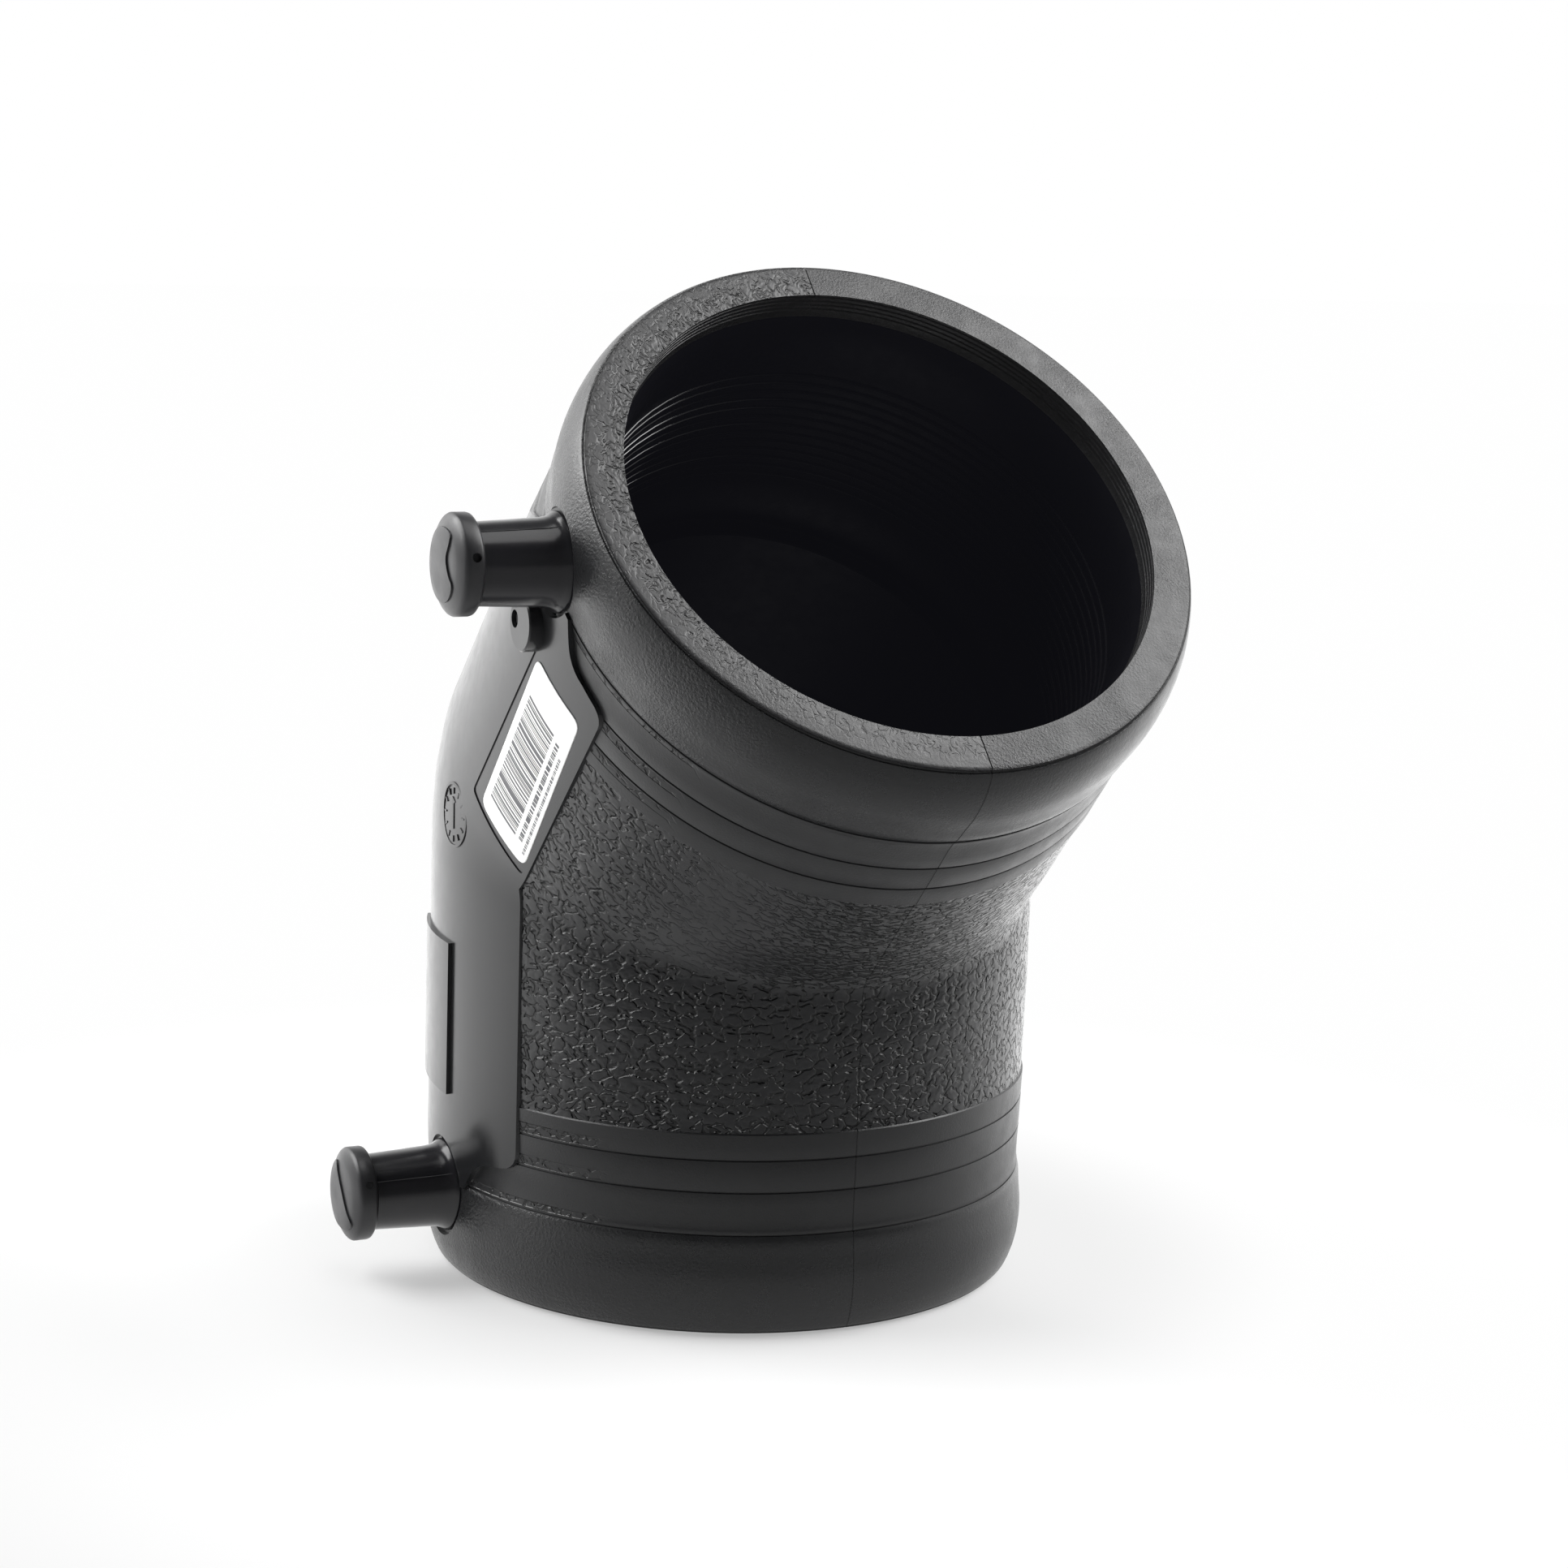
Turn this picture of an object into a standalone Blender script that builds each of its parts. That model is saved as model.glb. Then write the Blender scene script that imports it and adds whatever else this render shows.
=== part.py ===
# Electrofusion elbow, 45 degrees, for a plastic pressure pipe.
#
# The lower leg stands on its end face, round the Z axis. The legs bend in the XZ plane, with the
# crotch on the +X side. The smooth marking pad and both terminals are on the -Y side.
# A place on a leg is given by its distance across from the leg's axis, positive towards the
# crotch, and by its depth from the leg's end face. Heights of pieces that stand on the -Y side
# are distances from the XZ plane.

import math

import bmesh
import bpy
from mathutils import Vector

OBJECT_NAME = "electrofusion_elbow"

# Elbow, in metres
BEND_ANGLE = math.radians(45.0)
LEG_LENGTH = 0.0836
SOCKET_RADIUS = 0.0454
SOCKET_DEPTH = 0.0600
STOP_HEIGHT = 0.0034
WALL = 0.0089
CROTCH_ROUND = 0.0060
OUTER_SWEEP = 0.1000
STRAIGHT_SHARE = 0.60
SWEEP_POWER = 3
STEPS_AROUND = 44
STEPS_ALONG_BEND = 4
STEPS_AROUND_TERMINAL = 24
STEPS_AROUND_PIN = 12

# Collar and bands on the outside of each leg
FACE_DROP = 0.00315
RIM_EDGE_DROP = 0.00159
RIM_EDGE_DEPTH = 0.0014
COLLAR_RISE = 0.00055
COLLAR_CROWN_DEPTH = 0.0100
COLLAR_FALL = 0.0065
CROWN_POWER = 2.4
SHOULDER_SHARE = 0.40
SHOULDER_RISE = COLLAR_RISE * 0.65
RIM_ROUND_SHARES = (0.35, 0.70)
VALLEY_DROP = 0.0005
VALLEY_LENGTH = 0.0031
BAND_DEPTHS = (0.0060, 0.0117)
BAND_ZONE = 0.0162
GROOVE_WIDTH = 0.0005
GROOVE_DEPTH = 0.00025
TEXTURE_STEP = 0.0003

# Mouth of each socket
MOUTH_WIDENING = 0.0006
TOOTH_COUNT = 4
TOOTH_PITCH = 0.00095
TOOTH_DEPTH = 0.00035
TOOTH_CREST = 0.60

# Heating wire and the recess that holds its turns
RECESS_START = 0.0130
RECESS_LENGTH = 0.0360
RECESS_DEPTH = 0.0010
WIRE_RADIUS = 0.0004
WINDING_LEAD = 0.0030
WINDING_PITCH = 0.0022
WINDING_TURNS = 13
POINTS_PER_TURN = 18

# Terminals, one on each leg
TERMINAL_DEPTH = 0.0154
TERMINAL_ACROSS = -0.0020
SPOT_FACE_RADIUS = 0.0089
SPOT_FACE_SINK = 0.0006
SEAT_RADIUS = 0.0062
SEAT_SINK = 0.0035
PIN_RADIUS = 0.0020
PIN_LENGTH = 0.0186
PIN_COLLAR_RADIUS = 0.0036
PIN_COLLAR_HEIGHT = 0.0010
PIN_TIP_RADIUS = 0.0012
PIN_TIP_ROUND = 0.0010
SHROUD_BASE_RADIUS = 0.0076
SHROUD_TIP_RADIUS = 0.00675
SHROUD_LENGTH = 0.0145
SHROUD_BORE_RADIUS = 0.0049
SHROUD_FLOOR = 0.0025
CAP_RADIUS = 0.0083
CAP_RIM_HEIGHT = 0.0035
CAP_DOME_HEIGHT = 0.0014
CAP_PLUG_LENGTH = 0.0060
CAP_PLUG_WALL = 0.0012
CAP_EDGE_ROUND = 0.0007
CAP_FACE_SHARES = ((0.62, 0.85), (0.86, 0.30))

# Marking pad and what is on it
PAD_RISE = 0.0004
PAD_HALF_WIDTH = 0.0225
PAD_TOE = (0.0080, 0.0175)
PAD_SHOULDER = (0.0185, 0.0236)
PAD_CORNER_DEPTH = 0.0278
PAD_HIP_SHARE = 0.45
PAD_HIP_ROUND = 0.50
PAD_KNEE_SHARE = 0.40
PAD_KNEE_ROUND = 0.90
PLATE_ACROSS = (-0.0220, 0.0020)
PLATE_DEPTH = (0.0332, 0.0606)
PLATE_RISE = 0.0007
DIAL_ACROSS = 0.0020
DIAL_RADIUS = 0.0058
DIAL_LINE = 0.0005
DIAL_RISE = 0.00015
DIAL_HAND_LENGTH = 0.0050
LABEL_CENTRE = (0.0131, 0.0504)
LABEL_WIDTH = 0.0142
LABEL_LENGTH = 0.0386
LABEL_TURN = math.radians(3.0)
LABEL_CORNER = 0.0020
LABEL_THICKNESS = 0.00025
LABEL_MARGIN = 0.0007
INDICATOR_DEPTH = 0.0290
INDICATOR_BOSS_RADIUS = 0.0046
INDICATOR_BOSS_RISE = 0.0023
INDICATOR_RADIUS = 0.0012
INDICATOR_HOLE_SHIFT = (-0.0020, 0.0012)
INDICATOR_SINK = 0.0006
INDICATOR_LENGTH = 0.0056
INDICATOR_FACE_SHARE = 0.70
INDICATOR_CROWN = 0.0005

# Room between pieces that touch, and past a surface that is cut through
GAP = 0.0003
OVERCUT = 0.0030
SHORTEST_EDGE = 0.00001
SHARP_ANGLE = math.radians(35.0)

# Sizes that follow from those above
BARREL_RADIUS = SOCKET_RADIUS + WALL
PASSAGE_RADIUS = SOCKET_RADIUS - STOP_HEIGHT
CROWN_RADIUS = BARREL_RADIUS + COLLAR_RISE
PAD_RADIUS = BARREL_RADIUS + PAD_RISE
RECESS_RADIUS = SOCKET_RADIUS + RECESS_DEPTH
WINDING_RADIUS = RECESS_RADIUS - WIRE_RADIUS - GAP
COLLAR_LENGTH = COLLAR_CROWN_DEPTH + COLLAR_FALL
VALLEY_DEPTH = COLLAR_LENGTH + VALLEY_LENGTH
TEXTURE_DEPTH = VALLEY_DEPTH + BAND_ZONE
HALF_BEND = BEND_ANGLE / 2
SPOT_FACE_HEIGHT = BARREL_RADIUS - SPOT_FACE_SINK
SEAT_HEIGHT = SPOT_FACE_HEIGHT - SEAT_SINK
SHROUD_HEIGHT = SPOT_FACE_HEIGHT + GAP
SHROUD_TIP_HEIGHT = SHROUD_HEIGHT + SHROUD_LENGTH
LABEL_RADIUS = PAD_RADIUS
RAISED_FOOT = BARREL_RADIUS - WALL / 3
FIELD_INSIDE = SOCKET_RADIUS / 2
FIELD_OUTSIDE = PAD_RADIUS + OVERCUT


def clear_scene():
    for scene_object in list(bpy.data.objects):
        bpy.data.objects.remove(scene_object, do_unlink=True)


def new_collection(name):
    collection = bpy.data.collections.new(name)
    bpy.context.scene.collection.children.link(collection)
    return collection


def add_object(name, data, collection):
    """Adds an object under the elbow's own frame, so that the whole part moves as one."""
    added = bpy.data.objects.new(name, data)
    collection.objects.link(added)
    added.parent = frame
    return added


def make_tool(tool):
    """Moves an object that only shapes others to the tools and hides it from renders."""
    for collection in list(tool.users_collection):
        collection.objects.unlink(tool)
    tools.objects.link(tool)
    tool.parent = frame
    tool.hide_render = True
    tool.display_type = "WIRE"
    return tool


def evaluated_copy(source):
    """Returns the mesh of an object with its modifiers applied."""
    depsgraph = bpy.context.evaluated_depsgraph_get()
    return bpy.data.meshes.new_from_object(source.evaluated_get(depsgraph), depsgraph=depsgraph)


def apply_modifiers(target):
    target.data = evaluated_copy(target)
    target.modifiers.clear()


def combine(target, operation, *operands):
    """Adds one Boolean modifier for each operand."""
    for operand in operands:
        boolean = target.modifiers.new(operand.name, "BOOLEAN")
        boolean.operation = operation
        boolean.object = operand


def leg_place(leg, across, depth):
    """World X and Z of a place on a leg; the upper leg mirrors the lower one in the bend."""
    if leg == "lower":
        return across, depth
    along = LEG_LENGTH - depth
    x = across * math.cos(BEND_ANGLE) + along * math.sin(BEND_ANGLE)
    z = LEG_LENGTH - across * math.sin(BEND_ANGLE) + along * math.cos(BEND_ANGLE)
    return x, z


def mitre_depth(across):
    """Depth at which a line at this distance from the axis meets the mirror plane of the bend."""
    return LEG_LENGTH - across * math.tan(HALF_BEND)


def stand_on_side(piece, leg, across, depth):
    """Places a piece that is modelled along +Z so that it stands out along -Y on a leg."""
    x, z = leg_place(leg, across, depth)
    piece.location = (x, 0.0, z)
    piece.rotation_euler = (math.pi / 2, 0.0, 0.0)
    return piece


def profile_mesh(name, points, closed):
    """Makes the edges of a profile, given as radius and height, in the XZ plane."""
    builder = bmesh.new()
    corners = [builder.verts.new((radius, 0.0, height)) for radius, height in points]
    for start, end in zip(corners, corners[1:]):
        builder.edges.new((start, end))
    if closed:
        builder.edges.new((corners[-1], corners[0]))
    mesh = bpy.data.meshes.new(name)
    builder.to_mesh(mesh)
    builder.free()
    return mesh


def turned(name, points, steps, closed=False, collection=None):
    """Turns a profile about Z; it runs down its outer side, and ends on the axis are welded."""
    piece = add_object(name, profile_mesh(name, points, closed), collection or parts)
    screw = piece.modifiers.new("turn", "SCREW")
    screw.steps = steps
    screw.render_steps = steps
    screw.use_merge_vertices = True
    screw.merge_threshold = SHORTEST_EDGE
    screw.use_smooth_shade = True
    weld = piece.modifiers.new("close the axis", "WELD")
    weld.merge_threshold = SHORTEST_EDGE
    return piece


def rounded_corner(before, corner, after, radius, steps):
    """Points of a curve that replaces a corner and leaves both sides at the given distance."""
    before, corner, after = Vector(before), Vector(corner), Vector(after)
    start = corner + (before - corner).normalized() * radius
    end = corner + (after - corner).normalized() * radius
    shares = [step / steps for step in range(steps + 1)]
    return [start.lerp(corner, share).lerp(corner.lerp(end, share), share) for share in shares]


def prism(name, outline, low, high):
    """Makes a tool from an outline in X and Z that reaches from one height on the -Y side to another."""
    curve = bpy.data.curves.new(name, "CURVE")
    curve.dimensions = "2D"
    curve.fill_mode = "BOTH"
    curve.extrude = (high - low) / 2
    spline = curve.splines.new("POLY")
    spline.points.add(len(outline) - 1)
    for point, (x, z) in zip(spline.points, outline):
        point.co = (x, z, 0.0, 1.0)
    spline.use_cyclic_u = True
    drawn = add_object(name + "_outline", curve, tools)
    drawn.rotation_euler = (math.pi / 2, 0.0, 0.0)
    drawn.location = (0.0, -(low + high) / 2, 0.0)
    bpy.context.view_layer.update()
    solid = add_object(name, evaluated_copy(drawn), tools)
    solid.matrix_world = drawn.matrix_world.copy()
    bpy.data.objects.remove(drawn)
    weld_mesh(solid.data)
    return make_tool(solid)


def weld_mesh(mesh):
    builder = bmesh.new()
    builder.from_mesh(mesh)
    bmesh.ops.remove_doubles(builder, verts=builder.verts, dist=SHORTEST_EDGE)
    bmesh.ops.recalc_face_normals(builder, faces=builder.faces)
    builder.to_mesh(mesh)
    builder.free()


def leg_outline(leg, places):
    return [leg_place(leg, across, depth) for across, depth in places]


def sweep_radius(radius, azimuth):
    """Bend radius of one lengthwise line of the wall: sharp at the crotch, swept on the far side.

    The bores are drawn out along both legs, so inside the wall the lines meet in a plain mitre.
    """
    if radius < RECESS_RADIUS + GAP:
        return 0.0
    away_from_crotch = (1.0 - math.cos(azimuth)) / 2
    return CROTCH_ROUND + (OUTER_SWEEP - CROTCH_ROUND) * away_from_crotch ** SWEEP_POWER


def straight_end(radius):
    """Depth at which the lines of a leg may start to turn."""
    if radius < RECESS_RADIUS + GAP:
        return SOCKET_DEPTH + STOP_HEIGHT / 2
    return LEG_LENGTH * STRAIGHT_SHARE


def bend_station(radius, share):
    """Height in the straight blank of a ring; share 0 is where the turn starts, 1 the mirror plane."""
    start = straight_end(radius)
    return start + (LEG_LENGTH - start) * (1.0 + share) / 2


def bend_vertex(point):
    """Moves a point of the straight blank to its place on the lower half of the elbow.

    The first half of the way from the straight end to the middle of the blank is the straight
    run of that line up to its turn, and the second half is its turn.
    """
    radius = math.hypot(point.x, point.y)
    azimuth = math.atan2(point.y, point.x)
    start = straight_end(radius)
    if point.z <= start:
        return point
    turn = sweep_radius(radius, azimuth)
    turn_start = mitre_depth(point.x) - turn * math.tan(HALF_BEND)
    share = (point.z - start) / (LEG_LENGTH - start)
    if share < 0.5:
        return Vector((point.x, point.y, start + (turn_start - start) * share * 2))
    angle = HALF_BEND * (share * 2 - 1)
    x = point.x + turn * (1.0 - math.cos(angle))
    z = turn_start + turn * math.sin(angle)
    return Vector((x, point.y, z))


def bent(name, profile, collection):
    """Turns the profile of one leg, bends it up to the mirror plane and mirrors it there."""
    piece = turned(name, profile, STEPS_AROUND, collection=collection)
    apply_modifiers(piece)
    for vertex in piece.data.vertices:
        vertex.co = bend_vertex(vertex.co)
    mirror = piece.modifiers.new("other leg", "MIRROR")
    mirror.use_axis = (False, False, True)
    mirror.mirror_object = bend_plane
    mirror.merge_threshold = SHORTEST_EDGE
    apply_modifiers(piece)
    return piece


def bend_rings(radius):
    """Radius and height of the rings of a wall from the mirror plane back to where it is straight."""
    shares = [1.0 - step / STEPS_ALONG_BEND for step in range(STEPS_ALONG_BEND + 1)]
    return [(radius, bend_station(radius, share)) for share in shares]


def wall_band(name, inner, outer, collection=None):
    """Makes a bent sleeve between two radii, from which raised or sunk fields are cut."""
    start = COLLAR_CROWN_DEPTH
    profile = bend_rings(outer)
    profile += [(outer, straight_end(outer)), (outer, start), (inner, start), (inner, straight_end(inner))]
    profile += reversed(bend_rings(inner))
    return bent(name, profile, collection or tools)


def groove(radius, depth):
    """Profile points of a V groove round a leg, from its deeper side to its shallower side."""
    half = GROOVE_WIDTH / 2
    return [(radius, depth + half), (radius - GROOVE_DEPTH, depth), (radius, depth - half)]


def band_radius(depth):
    """Radius of the slightly tapered zone that carries the band lines."""
    return BARREL_RADIUS - VALLEY_DROP * (1.0 - (depth - VALLEY_DEPTH) / BAND_ZONE)


def collar_profile():
    """Outer profile from the collar's end down its crown and round the rim to the end face."""
    points = [(BARREL_RADIUS, COLLAR_LENGTH)]
    points.append((BARREL_RADIUS + SHOULDER_RISE, COLLAR_CROWN_DEPTH + COLLAR_FALL * SHOULDER_SHARE))
    crown_length = COLLAR_CROWN_DEPTH - RIM_EDGE_DEPTH
    for share in (0.0, 0.25, 0.5, 0.75, 1.0):
        depth = COLLAR_CROWN_DEPTH - crown_length * share
        points.append((CROWN_RADIUS - RIM_EDGE_DROP * share ** CROWN_POWER, depth))
    edge = points[-1]
    slope = RIM_EDGE_DROP * CROWN_POWER / crown_length
    corner = (edge[0] - slope * RIM_EDGE_DEPTH, 0.0)
    face = (CROWN_RADIUS - FACE_DROP, 0.0)
    for share in RIM_ROUND_SHARES:
        toward = Vector(edge).lerp(Vector(corner), share)
        away = Vector(corner).lerp(Vector(face), share)
        points.append(tuple(toward.lerp(away, share)))
    points.append(face)
    return points


def socket_profile():
    """Inner profile from the end face up the mouth's teeth, the wire recess and the pipe stop."""
    mouth = SOCKET_RADIUS + MOUTH_WIDENING
    points = [(mouth, 0.0)]
    for tooth in range(TOOTH_COUNT):
        depth = TOOTH_PITCH * (tooth + TOOTH_CREST)
        points.append((mouth + TOOTH_DEPTH, depth))
        points.append((mouth, depth + TOOTH_PITCH * (1.0 - TOOTH_CREST)))
    teeth_end = TOOTH_PITCH * (TOOTH_COUNT + 1)
    recess_end = RECESS_START + RECESS_LENGTH
    points += [
        (SOCKET_RADIUS, teeth_end + MOUTH_WIDENING * 2),
        (SOCKET_RADIUS, RECESS_START),
        (RECESS_RADIUS, RECESS_START + RECESS_DEPTH),
        (RECESS_RADIUS, recess_end - RECESS_DEPTH),
        (SOCKET_RADIUS, recess_end),
        (SOCKET_RADIUS, SOCKET_DEPTH),
        (PASSAGE_RADIUS, SOCKET_DEPTH),
        (PASSAGE_RADIUS, LEG_LENGTH),
    ]
    return points


def body_profile():
    """Whole profile of one leg, from the mirror plane down the outside and up the inside."""
    points = bend_rings(BARREL_RADIUS)
    points.append((BARREL_RADIUS - TEXTURE_STEP * 0.5, straight_end(BARREL_RADIUS)))
    points.append((BARREL_RADIUS - TEXTURE_STEP, TEXTURE_DEPTH + GROOVE_WIDTH))
    points.append((BARREL_RADIUS, TEXTURE_DEPTH))
    for offset in reversed(BAND_DEPTHS):
        depth = VALLEY_DEPTH + offset
        points += groove(band_radius(depth), depth)
    points.append((BARREL_RADIUS - VALLEY_DROP, VALLEY_DEPTH))
    points += groove(BARREL_RADIUS - VALLEY_DROP / 2, COLLAR_LENGTH + VALLEY_LENGTH / 2)
    points += collar_profile()
    points += socket_profile()
    return points


def pad_edge(leg):
    """Edge of the marking pad on the crotch side, from the toe by the terminal to the bend."""
    toe, shoulder = Vector(PAD_TOE), Vector(PAD_SHOULDER)
    corner = Vector((PAD_HALF_WIDTH, PAD_CORNER_DEPTH))
    places = [tuple(toe)]
    hip = Vector((toe.x + (shoulder.x - toe.x) * PAD_HIP_SHARE, shoulder.y))
    places += rounded_corner(toe, hip, shoulder, (hip - toe).length * PAD_HIP_ROUND, 4)
    knee = Vector((PAD_HALF_WIDTH, shoulder.y + (corner.y - shoulder.y) * PAD_KNEE_SHARE))
    places += rounded_corner(shoulder, knee, corner, (knee - corner).length * PAD_KNEE_ROUND, 3)
    places.append(tuple(corner))
    return leg_outline(leg, places)


def pad_far_edge(leg):
    """Edge of the pad on the far side of the bend, from the bend to behind the terminal."""
    corner = (-PAD_HALF_WIDTH, PAD_CORNER_DEPTH)
    toe = (TERMINAL_ACROSS * 2 - PAD_TOE[0], PAD_TOE[1])
    return leg_outline(leg, [corner, toe])


def make_pad():
    """Smooth field on the -Y side, which runs over both legs and stands proud of the grain."""
    crotch_end = leg_place("lower", PAD_HALF_WIDTH, mitre_depth(PAD_HALF_WIDTH))
    far_end = leg_place("lower", -PAD_HALF_WIDTH, mitre_depth(-PAD_HALF_WIDTH))
    outline = pad_edge("lower") + [crotch_end] + list(reversed(pad_edge("upper")))
    outline += list(reversed(pad_far_edge("upper"))) + [far_end] + pad_far_edge("lower")
    field = prism("pad_field", outline, FIELD_INSIDE, FIELD_OUTSIDE)
    pad = wall_band("pad_sleeve", RAISED_FOOT, PAD_RADIUS)
    combine(pad, "INTERSECT", field)
    return make_tool(pad)


def make_plate():
    """Raised bare plate on the lower leg, where the product carries its marking."""
    left, right = PLATE_ACROSS
    low, high = PLATE_DEPTH
    field = prism("plate_field", [(left, low), (right, low), (right, high), (left, high)],
                  FIELD_INSIDE, FIELD_OUTSIDE)
    plate = wall_band("plate_sleeve", RAISED_FOOT, PAD_RADIUS + PLATE_RISE)
    combine(plate, "INTERSECT", field)
    return make_tool(plate)


def label_outline(margin, corner_radius):
    """Outline of the label on the upper leg, grown by a margin and turned as it was stuck on."""
    half_width = LABEL_WIDTH / 2 + margin
    half_length = LABEL_LENGTH / 2 + margin
    corners = [(-half_width, -half_length), (half_width, -half_length),
               (half_width, half_length), (-half_width, half_length)]
    places = []
    for index, corner in enumerate(corners):
        before = corners[index - 1]
        after = corners[(index + 1) % len(corners)]
        for point in rounded_corner(before, corner, after, corner_radius, 3):
            across = point.x * math.cos(LABEL_TURN) + point.y * math.sin(LABEL_TURN)
            depth = point.y * math.cos(LABEL_TURN) - point.x * math.sin(LABEL_TURN)
            places.append((LABEL_CENTRE[0] + across, LABEL_CENTRE[1] + depth))
    return leg_outline("upper", places)


def make_label_recess():
    field = prism("label_recess_field", label_outline(LABEL_MARGIN, LABEL_CORNER),
                  FIELD_INSIDE, FIELD_OUTSIDE)
    floor = LABEL_RADIUS - LABEL_THICKNESS - GAP
    recess = wall_band("label_recess_sleeve", floor, PAD_RADIUS + OVERCUT * 2)
    combine(recess, "INTERSECT", field)
    return make_tool(recess)


def make_label():
    field = prism("label_field", label_outline(0.0, LABEL_CORNER),
                  FIELD_INSIDE, FIELD_OUTSIDE)
    label = wall_band("barcode_label", LABEL_RADIUS - LABEL_THICKNESS, LABEL_RADIUS, collection=parts)
    combine(label, "INTERSECT", field)
    return label


def make_dial():
    """Date dial: a raised ring with a plain hand, on the pad at the middle of the bend."""
    top = PAD_RADIUS + DIAL_RISE
    inner = DIAL_RADIUS - DIAL_LINE
    profile = [(DIAL_RADIUS, top), (DIAL_RADIUS, RAISED_FOOT), (inner, RAISED_FOOT), (inner, top)]
    ring = turned("dial_ring", profile, STEPS_AROUND_TERMINAL, closed=True, collection=tools)
    stand_on_side(ring, "lower", DIAL_ACROSS, LEG_LENGTH)
    half = DIAL_LINE / 2
    reach = DIAL_HAND_LENGTH / 2
    left, right = DIAL_ACROSS - half, DIAL_ACROSS + half
    hand_outline = [(left, LEG_LENGTH - reach), (right, LEG_LENGTH - reach),
                    (right, LEG_LENGTH + reach), (DIAL_ACROSS, LEG_LENGTH + reach + DIAL_LINE),
                    (left, LEG_LENGTH + reach)]
    hand = prism("dial_hand", hand_outline, RAISED_FOOT, top)
    return make_tool(ring), hand


def make_indicator_boss():
    top = PAD_RADIUS + INDICATOR_BOSS_RISE
    profile = [(0.0, top), (INDICATOR_BOSS_RADIUS, top), (INDICATOR_BOSS_RADIUS, RAISED_FOOT),
               (0.0, RAISED_FOOT)]
    boss = turned("indicator_boss", profile, STEPS_AROUND_TERMINAL, collection=tools)
    return make_tool(stand_on_side(boss, "upper", 0.0, INDICATOR_DEPTH))


def indicator_heights():
    top = PAD_RADIUS + INDICATOR_BOSS_RISE - INDICATOR_SINK
    return top, top - INDICATOR_LENGTH


def place_at_indicator(piece):
    across, deeper = INDICATOR_HOLE_SHIFT
    return stand_on_side(piece, "upper", across, INDICATOR_DEPTH + deeper)


def make_indicator_hole():
    top, foot = indicator_heights()
    radius = INDICATOR_RADIUS + GAP
    profile = [(0.0, top + OVERCUT), (radius, top + OVERCUT), (radius, foot - GAP), (0.0, foot - GAP)]
    hole = turned("indicator_hole", profile, STEPS_AROUND_PIN, collection=tools)
    return make_tool(place_at_indicator(hole))


def make_indicator():
    """Pin that the melt pushes up; before the weld it lies just below the top of its boss."""
    top, foot = indicator_heights()
    profile = [(0.0, top), (INDICATOR_RADIUS * INDICATOR_FACE_SHARE, top),
               (INDICATOR_RADIUS, top - INDICATOR_CROWN), (INDICATOR_RADIUS, foot), (0.0, foot)]
    return place_at_indicator(turned("fusion_indicator", profile, STEPS_AROUND_PIN))


def make_terminal_cut(leg):
    """Spot face, seat for the shroud's spigot and hole for the pin, down into the wire recess."""
    top = PAD_RADIUS + OVERCUT
    bottom = SOCKET_RADIUS - OVERCUT
    pin_hole = PIN_RADIUS + GAP
    profile = [(0.0, top), (SPOT_FACE_RADIUS, top), (SPOT_FACE_RADIUS, SPOT_FACE_HEIGHT),
               (SEAT_RADIUS, SPOT_FACE_HEIGHT), (SEAT_RADIUS, SEAT_HEIGHT),
               (pin_hole, SEAT_HEIGHT), (pin_hole, bottom), (0.0, bottom)]
    cut = turned("terminal_cut_" + leg, profile, STEPS_AROUND_TERMINAL, collection=tools)
    return make_tool(stand_on_side(cut, leg, TERMINAL_ACROSS, TERMINAL_DEPTH))


def make_link_channel(leg):
    """Slot in the shoulder of the pipe stop for the wire that links the two windings."""
    half = WIRE_RADIUS + GAP
    start = RECESS_START + RECESS_LENGTH - RECESS_DEPTH * 2
    end = mitre_depth(TERMINAL_ACROSS) + WIRE_RADIUS * 2
    left, right = TERMINAL_ACROSS - half, TERMINAL_ACROSS + half
    outline = leg_outline(leg, [(left, start), (right, start), (right, end), (left, end)])
    return prism("link_channel_" + leg, outline, PASSAGE_RADIUS - OVERCUT, RECESS_RADIUS)


def make_body():
    """Moulded polyethylene body, with the raised fields joined on and the seats cut in."""
    body = bent("body", body_profile(), parts)
    combine(body, "UNION", make_pad(), make_plate(), make_indicator_boss(), *make_dial())
    combine(body, "DIFFERENCE", make_label_recess(), make_indicator_hole())
    for leg in LEGS:
        combine(body, "DIFFERENCE", make_terminal_cut(leg), make_link_channel(leg))
    return body


def wire_half(leg):
    """Route of the heating wire on one leg, from the foot of its pin to the bend."""
    side = -math.sqrt(WINDING_RADIUS ** 2 - TERMINAL_ACROSS ** 2)
    start_angle = math.atan2(side, TERMINAL_ACROSS)
    winding_start = TERMINAL_DEPTH + WINDING_LEAD
    pin_foot = -(SEAT_HEIGHT + GAP - PIN_COLLAR_HEIGHT * 2)
    route = [(TERMINAL_ACROSS, pin_foot + GAP, TERMINAL_DEPTH),
             (TERMINAL_ACROSS, side, TERMINAL_DEPTH)]
    for index in range(WINDING_TURNS * POINTS_PER_TURN + 1):
        turns = index / POINTS_PER_TURN
        angle = start_angle + turns * math.tau
        across = WINDING_RADIUS * math.cos(angle)
        route.append((across, WINDING_RADIUS * math.sin(angle), winding_start + WINDING_PITCH * turns))
    points = []
    for across, y, depth in route:
        x, z = leg_place(leg, across, depth)
        points.append((x, y, z))
    return points


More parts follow.
